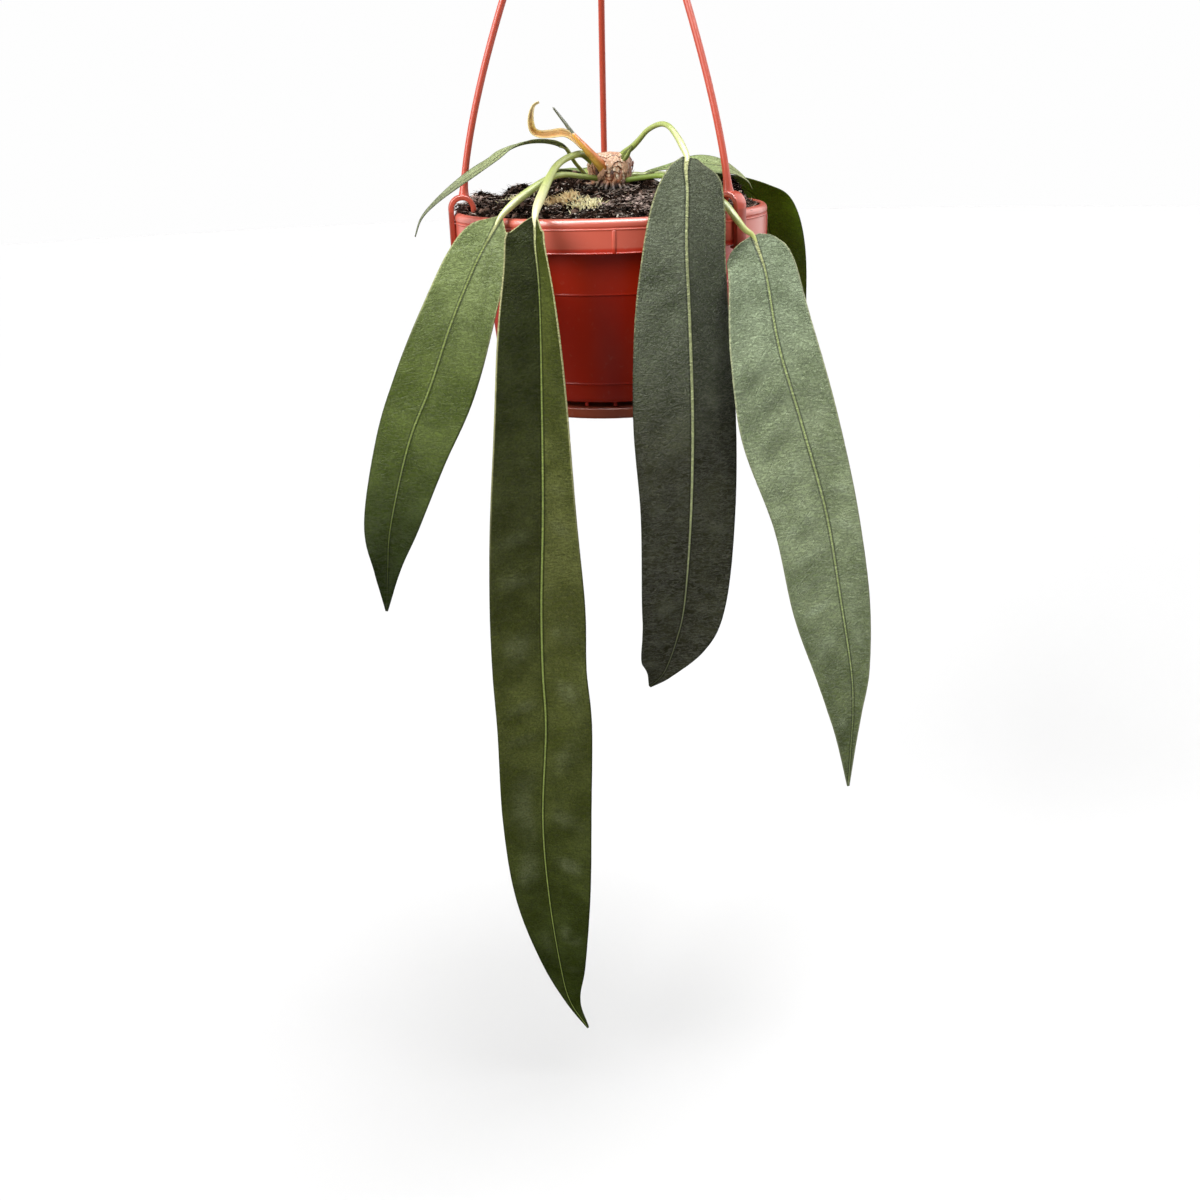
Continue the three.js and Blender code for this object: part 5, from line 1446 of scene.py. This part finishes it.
# Third strap leaf: dark grey-green and finely creased, the widest. It grows on a thick arched petiole and
# bends down over its joint before it hangs in front of the pot.
leaf(
    "leaf_3", "leaf_green",
    rows=[
        (34, -56, 23, 2, 5, 10, 0, 0), (33, -63, 18, 8, 13.5, 12, 0, 0), (33, -72, 9, 13.5, 17, 16, 0, -6),
        (32, -82, -12, 18.5, 20.6, 18, 0, -16), (33, -84, -42, 24, 22.3, 18, 0, -18),
        (34, -86, -86, 26.5, 22.5, 14, 0, -12), (33, -86, -130, 23, 21.5, 10, 0, -4),
        (30, -84, -173, 20.5, 19.5, 6, 0, 4), (26, -83, -193, 17, 15, 4, 0, 6),
        (20, -82, -210, 12, 4.5, 0, 0, 8), (13, -81, -218, 0.6, 0.6, 0, 0, 8),
    ],
    wave=(0.7, 2, 2.4),
    petiole=[
        (3, -2, 19), (7, -5, 23.6), (11, -9, 26.6), (14, -14, 29.6), (18, -22, 34), (23.5, -32, 36.6),
        (27, -40, 35.6), (30, -46, 31.8), (32.5, -52, 27),
    ],
    petiole_radii=[1.9, 1.5, 1.2, 1.15, 1.15, 1.3, 1.6],
    skin=leaf_skin(
        "leaf_3_skin", top=tone(88, 96, 74), centre=tone(43, 43, 18), tip=tone(33, 31, 4),
        rib=tone(188, 196, 140), margin=tone(176, 180, 130), rib_half=0.58,
        halves=((1.28, 1.28, 1.28), (0.82, 0.82, 0.78)), turn_at=(0.2, 0.58, 0.65), rib_fade=0.85,
        bloom=0.85, grain_depth=1.3, sheen=0.1, sheen_tone=tone(142, 146, 124), highlight_sheen=0.3, gloss=0.1,
    ),
    swell=0.6, seed=0.4,
)


# Fourth strap leaf: pale grey-green, on a lime petiole that crosses the rim by the right clip. It hangs
# from its joint close under the rim and leans away to the right.
leaf(
    "leaf_4", "leaf_green",
    rows=[
        (62.6, -59.7, -10.4, 2, 3, 18, 0, -2), (63.2, -60.2, -11.9, 8, 9, 18, 0, -3),
        (64.1, -61.1, -14.5, 12.6, 12.6, 18, 0, -4), (65.6, -63, -19, 16, 15.2, 20, 0, -4),
        (68, -67, -28, 18.6, 17.2, 22, 0, -4), (73, -75, -57, 23, 19, 14, 0, -2),
        (83, -80, -90, 28, 17, 8, 0, 0), (95, -84, -132, 25, 14.5, 4, 0, 2),
        (103, -86, -175, 23, 13.5, 0, 0, 4), (109, -86, -209, 17.5, 9, 0, 0, 4),
        (111, -85, -231, 12.5, 4.5, 0, 0, 6), (111, -84, -251, 6.5, 2.5, 0, 0, 8),
        (111, -82, -275, 0.6, 0.6, 0, 0, 8),
    ],
    wave=(1, 3.5, 0),
    petiole=[
        (4, -2, 11), (15, -12, 13), (24, -22, 14), (37, -35, 12.5), (44, -46, 7.6), (48, -50.5, 4.9),
        (51, -53.8, 2.6), (53, -56.4, 0.1), (55.3, -58.7, -3), (59, -60, -7.6),
    ],
    petiole_radii=[1.3, 1.15, 1.2, 1.4, 1.6, 1.7],
    skin=leaf_skin(
        "leaf_4_skin", top=tone(143, 159, 125), centre=tone(141, 155, 115), tip=tone(92, 104, 58),
        rib=tone(176, 192, 124), margin=tone(206, 212, 164), rib_half=0.48, hem_dark=0.7, bloom=1.0,
        grain_depth=1.1, sheen=0.26, sheen_tone=tone(190, 204, 176), highlight_sheen=0.25,
    ),
    stem=lime_stem, swell=0.65, seed=4.1,
)


# Fifth leaf: small, young and pale. It arches out over the rim to the left in one bow with its petiole and
# is turned so that it shows its edge.
leaf(
    "leaf_5", "leaf_pale",
    rows=[
        (-20, -8, 27, 1, 1, -35, 8, 0), (-24, -16, 29.3, 3, 3, -28, 4, 0), (-31, -28, 31, 7, 7, -36, 6, 0),
        (-38.5, -38, 30.6, 8.2, 8.2, -45, 9, 2), (-45, -44, 28.2, 7.8, 7.8, -52, 6, 4),
        (-51, -47, 24, 6.8, 6.8, -62, 0, 4), (-59, -49, 19.4, 6.2, 6.2, -72, -6, 4),
        (-67.5, -50, 14.3, 5.2, 5.2, -76, -8, 4), (-77, -51, 7.6, 3.4, 3.4, -80, -10, 4),
        (-84, -52, 0.8, 1.8, 1.8, -82, -11, 4), (-87.5, -52, -7, 0.6, 0.6, -82, -12, 4),
    ],
    wave=(0.4, 2, 0),
    petiole=[
        (-6, 3, 12), (-11, 6, 14), (-13, 4, 16.3), (-16, 0, 20), (-18, -4, 23.6),
    ],
    petiole_radii=[1.2, 0.9, 0.9, 1.0],
    skin=leaf_skin(
        "leaf_5_skin", top=tone(166, 180, 124), centre=tone(168, 180, 128), tip=tone(150, 158, 126),
        rib=tone(184, 194, 136), margin=tone(176, 186, 124),
    ),
    stem=pale_stem, quilt=0.03, swell=0.12, seed=5.0,
)


# Sixth leaf: a pale strap that goes away behind the stem on a short petiole, lies over the back of the rim
# and hangs behind the pot.
leaf(
    "leaf_6", "leaf_pale",
    rows=[
        (-12, 22, 15, 1, 1, 180, 0, 0), (-15, 34, 16, 5, 6, 180, 0, 4), (-18, 50, 13, 8, 9, 180, 0, 6),
        (-21, 68, 6.5, 10, 10, 180, 0, 6), (-24, 84, -8, 11.5, 11.5, 180, 0, 6),
        (-30, 92, -40, 14, 14, 180, 0, 6), (-39, 93, -95, 15, 15, 175, 0, 4),
        (-44, 90, -150, 13, 13, 172, 0, 4), (-46, 86, -200, 8, 8, 170, 0, 6),
        (-47, 83, -230, 0.6, 0.6, 170, 0, 8),
    ],
    wave=(0.9, 3, 1),
    petiole=[
        (-3, 3, 11), (-8, 12, 13.6), (-11, 18, 14.8),
    ],
    petiole_radii=[1.5, 1.3, 1.5],
    skin=leaf_skin(
        "leaf_6_skin", top=tone(132, 154, 92), centre=tone(104, 122, 62), tip=tone(74, 88, 34),
        rib=tone(168, 182, 110), margin=tone(160, 172, 110),
    ),
    stem=pale_stem, seed=6.2,
)


# Seventh leaf: short, pale and thin, on a low petiole at the back right. It makes a flat arch over the
# compost, and its tip curls down behind the clip.
leaf(
    "leaf_7", "leaf_pale",
    rows=[
        (16, 8, 13.2, 1, 1, 115, 0, 0), (22, 11, 15.2, 5, 5, 115, 2, 0), (33, 16, 16.5, 9, 7.5, 113, 8, 2),
        (45, 20, 17, 12, 9.5, 108, 18, 2), (56, 23.5, 15.5, 11, 9, 100, 20, 2),
        (64, 25, 11.8, 7, 7, 95, 14, 2), (69, 25.5, 7.8, 2.5, 2.5, 90, 5, 0),
        (71, 24.5, 4, 0.6, 0.6, 90, 0, 0),
    ],
    wave=(0.5, 2, 0),
    petiole=[
        (4, 1, 12), (8, 4, 13), (12, 6, 13.6),
    ],
    petiole_radii=[1.5, 1.3, 1.4],
    skin=leaf_skin(
        "leaf_7_skin", top=tone(140, 162, 94), centre=tone(158, 178, 116), tip=tone(196, 204, 150),
        rib=tone(176, 190, 122), margin=tone(176, 186, 124),
    ),
    stem=pale_stem, quilt=0.04, swell=0.2, seed=7.7,
)


# Eighth leaf: broad and deep green. It lies over the back right of the rim on a stiff petiole and hangs
# down behind the pot, with its right side in view.
leaf(
    "leaf_8", "leaf_green",
    rows=[
        (32, 30, 11.8, 1, 1, 130, 0, 0), (42, 38, 11.2, 8, 8, 130, 0, 4),
        (56, 50, 9.2, 16, 13.5, 130, 0, 4), (70, 62, 3.2, 21, 16, 130, 0, 2),
        (81, 69, -7.5, 22.5, 18, 130, 0, 2), (88, 74, -32, 23, 19, 130, 0, 2),
        (92, 77, -71, 20.5, 19, 130, 0, 2), (95, 77, -110, 17, 17, 130, 0, 4),
        (97, 75, -145, 10, 10, 132, 0, 6), (99, 73, -170, 0.6, 0.6, 134, 0, 8),
    ],
    wave=(0.8, 2.5, 0.8),
    petiole=[
        (3, 3, 11.5), (12, 13, 12.2), (22, 21, 12.6),
    ],
    petiole_radii=[1.5, 1.4, 1.6],
    skin=leaf_skin(
        "leaf_8_skin", top=tone(100, 134, 0), centre=tone(98, 130, 0), tip=tone(84, 112, 0),
        rib=tone(120, 144, 40), margin=tone(96, 112, 50), under_pale=0.05, gloss=0.05,
    ),
    seed=8.5,
)


# Sheaths: a fresh orange sheath holds the rolled new leaf on the stem's left side, and beside it an old
# sheath has dried to a curled yellow-brown ribbon.
SHEATH_LINE = [(-2, -5, 16.5), (-4.2, -10, 19.6), (-8.7, -12, 24.7), (-16.3, -13, 33.3)]
SHEATH_RADII = [2.8, 2.4, 1.8, 0.95]
NEW_LEAF_LINE = [(-14.8, -12.8, 31.6), (-20.3, -13, 38.8), (-24.8, -13, 44.6)]
NEW_LEAF_RADII = [1, 0.95, 0.55]
DRIED_ROWS = [
    (-12.5, -13.5, 27, 1, 1, -70, -50, 10), (-16.4, -14, 30.7, 2.2, 2.2, -70, -48, 25),
    (-20.9, -15, 33, 3.0, 3.0, -75, -46, 35), (-26.4, -17, 32.6, 3.1, 3.1, -80, -46, 38),
    (-31.3, -19, 32.8, 2.8, 2.8, -85, -48, 38), (-34.6, -20, 34.8, 2.3, 2.3, -90, -52, 35),
    (-35.5, -21, 38.6, 1.9, 1.9, -90, -56, 30), (-34.9, -21, 43, 1.3, 1.3, -90, -60, 22),
    (-33.4, -20, 46.3, 0.7, 0.7, -90, -60, 10), (-31.1, -19, 47.5, 0.5, 0.5, -90, -60, 0),
]


def rolled_piece(name, line, radii, skin, lap=0.16, twist=1.2, sides=40, steps=60):
    """A leaf or sheath rolled round itself, with the lap of its edge winding slowly up its length."""
    places = np.linspace(0, 1, steps)
    spots = centripetal(line, places)
    widths = np.interp(places, np.linspace(0, 1, len(radii)), radii)
    forth = np.gradient(spots, axis=0)
    forth /= np.linalg.norm(forth, axis=1, keepdims=True)
    side = np.cross(forth, (0.0, 1.0, 0.0))
    side /= np.linalg.norm(side, axis=1, keepdims=True)
    other = np.cross(forth, side)
    points, seam, lit_side = [], [], []
    for spot, a, b, width, u in zip(spots, side, other, widths, places):
        for k in range(sides):
            share = k / sides
            reach = width * (1 - lap * share) * (1 + 0.04 * math.sin(5 * math.tau * share + 9 * u))
            angle = math.tau * share + twist * u - 0.6
            points.append(spot + reach * (a * math.cos(angle) + b * math.sin(angle)))
            seam.append(min(share, 1 - share))
            # The side of the roll that is turned up is marked, to be painted lighter as painted light.
            lit_side.append(0.5 + 0.5 * math.cos(angle - 0.6))
    tip = spots[-1] + forth[-1] * widths[-1] * 1.5
    points += [spots[0], tip]
    seam += [0.5, 0.5]
    lit_side += [0.5, 0.5]
    along = np.concatenate([np.repeat(places, sides), [0, 1]])
    marks = {"seam": seam, "along": along, "round": lit_side}
    return closed_piece(name, placed(points), tube_faces(steps, sides), skin, marks)


def sheath_skin(name, root, end, seam_tone, lit_side_tone, roughness):
    """A smooth wrapped skin with lengthwise veins and a dark line where its edge laps, painted lighter and
    yellower on the side of its roll that is turned up, as painted light.
    """
    skin, tree, shader = new_skin(name, Roughness=roughness)
    along = mark(tree, "along")
    seam = mark(tree, "seam")
    place = own_place(tree)
    cloud = cloudy(tree, place, 330.0, 4.0)
    lines = cloudy(tree, place, 1400.0, 2.0)
    colour = blended(tree, ramped(tree, along, 0.1, 0.9), root, end)
    # The side turned up is painted lighter, a painted light.
    turn = mark(tree, "round")
    colour = blended(tree, ramped(tree, turn, 0.45, 0.95), colour, lit_side_tone)
    shade = blended(tree, 0.5, colour, seam_tone)
    colour = blended(tree, ramped(tree, cloud, 0.5, 0.72), colour, shade)
    colour = blended(tree, ramped(tree, seam, 0.015, 0.06, 0.85, 0.0), colour, seam_tone)
    colour = blended(tree, ramped(tree, along, 0.0, 0.035, 0.9, 0.0), colour, seam_tone)
    bump = bumped(tree, lines, 0.4, 0.0002)
    feed(tree, shader, Base_Color=colour, Normal=bump)
    return skin


live_skin = sheath_skin("orange_sheath", tone(216, 118, 34), tone(230, 130, 46), tone(96, 28, 10),
                        tone(240, 190, 84), 0.36)
live = rolled_piece("live_sheath_roll", SHEATH_LINE, SHEATH_RADII, live_skin)
settle(live, "sheath_live", "live_sheath")
spike_skin = sheath_skin("new_leaf_skin", tone(110, 112, 84), tone(88, 90, 70), tone(46, 46, 32),
                         tone(120, 124, 100), 0.45)
spike = rolled_piece("new_leaf_spike", NEW_LEAF_LINE, NEW_LEAF_RADII, spike_skin, lap=0.3, twist=2.6)
settle(spike, "leaf_green", "new_leaf")

dry_skin, tree, shader = new_skin("dried_sheath", Roughness=0.72)
place = own_place(tree)
off = mark(tree, "off")
along = mark(tree, "along")
stripes = add_node(tree, "ShaderNodeCombineXYZ", {
    "X": times(tree, off, 4200.0), "Y": times(tree, along, 7.0)}).outputs[0]
fibres = cloudy(tree, stripes, 1.0, 3.0)
stains = cloudy(tree, place, 260.0, 3.0)
colour = blended(tree, ramped(tree, along, 0.0, 0.35), tone(214, 160, 60), tone(204, 146, 34))
colour = blended(tree, ramped(tree, along, 0.62, 1.0), colour, tone(132, 100, 56))
colour = blended(tree, ramped(tree, fibres, 0.54, 0.72), colour, tone(122, 82, 26))
colour = blended(tree, ramped(tree, stains, 0.54, 0.7), colour, tone(232, 190, 96))
edge = mark(tree, "edge")
under = mark(tree, "under")
# The underside is painted darker, a painted shade, and the edges cream, a painted highlight.
colour = blended(tree, times(tree, under, 0.6), colour, tone(112, 74, 22))
colour = blended(tree, ramped(tree, edge, 0.0003, 0.0011, 0.85, 0.0), colour, tone(244, 218, 146))
bump = bumped(tree, fibres, 0.8, 0.0003)
feed(tree, shader, Base_Color=colour, Normal=bump)
dried = blade_piece("dried_sheath_ribbon", DRIED_ROWS, (0.3, 2, 0), dry_skin, swell=0.25, swell_pitch=9.0)
settle(dried, "sheath_dry", "dried_sheath")


# Bract: one small green scale, folded along its middle, that stands where the petioles leave the stem.
# It is thin and fresh, and grows from the stem's right side.
BRACT_ROWS = [
    (6.5, -8.0, 20.5, 1.2, 1.2, 0, 0, 20), (7.8, -9.4, 22.3, 2.0, 2.0, 5, 0, 25),
    (9.0, -10.4, 24.2, 1.7, 1.7, 8, 0, 30), (10.2, -11.2, 26.0, 0.9, 0.9, 10, 0, 20),
    (11.0, -11.6, 27.2, 0.5, 0.5, 10, 0, 0),
]
bract_skin = leaf_skin(
    "bract_skin", top=tone(160, 186, 60), centre=tone(184, 204, 84), tip=tone(210, 216, 130),
    rib=tone(190, 206, 110), margin=tone(170, 176, 110), bloom=0.2, grain_depth=0.3)
bract = blade_piece(
    "green_bract", BRACT_ROWS, (0.1, 1, 0), bract_skin, quilt=0.0, swell=0.1, swell_pitch=6.0)
settle(bract, "leaf_pale")
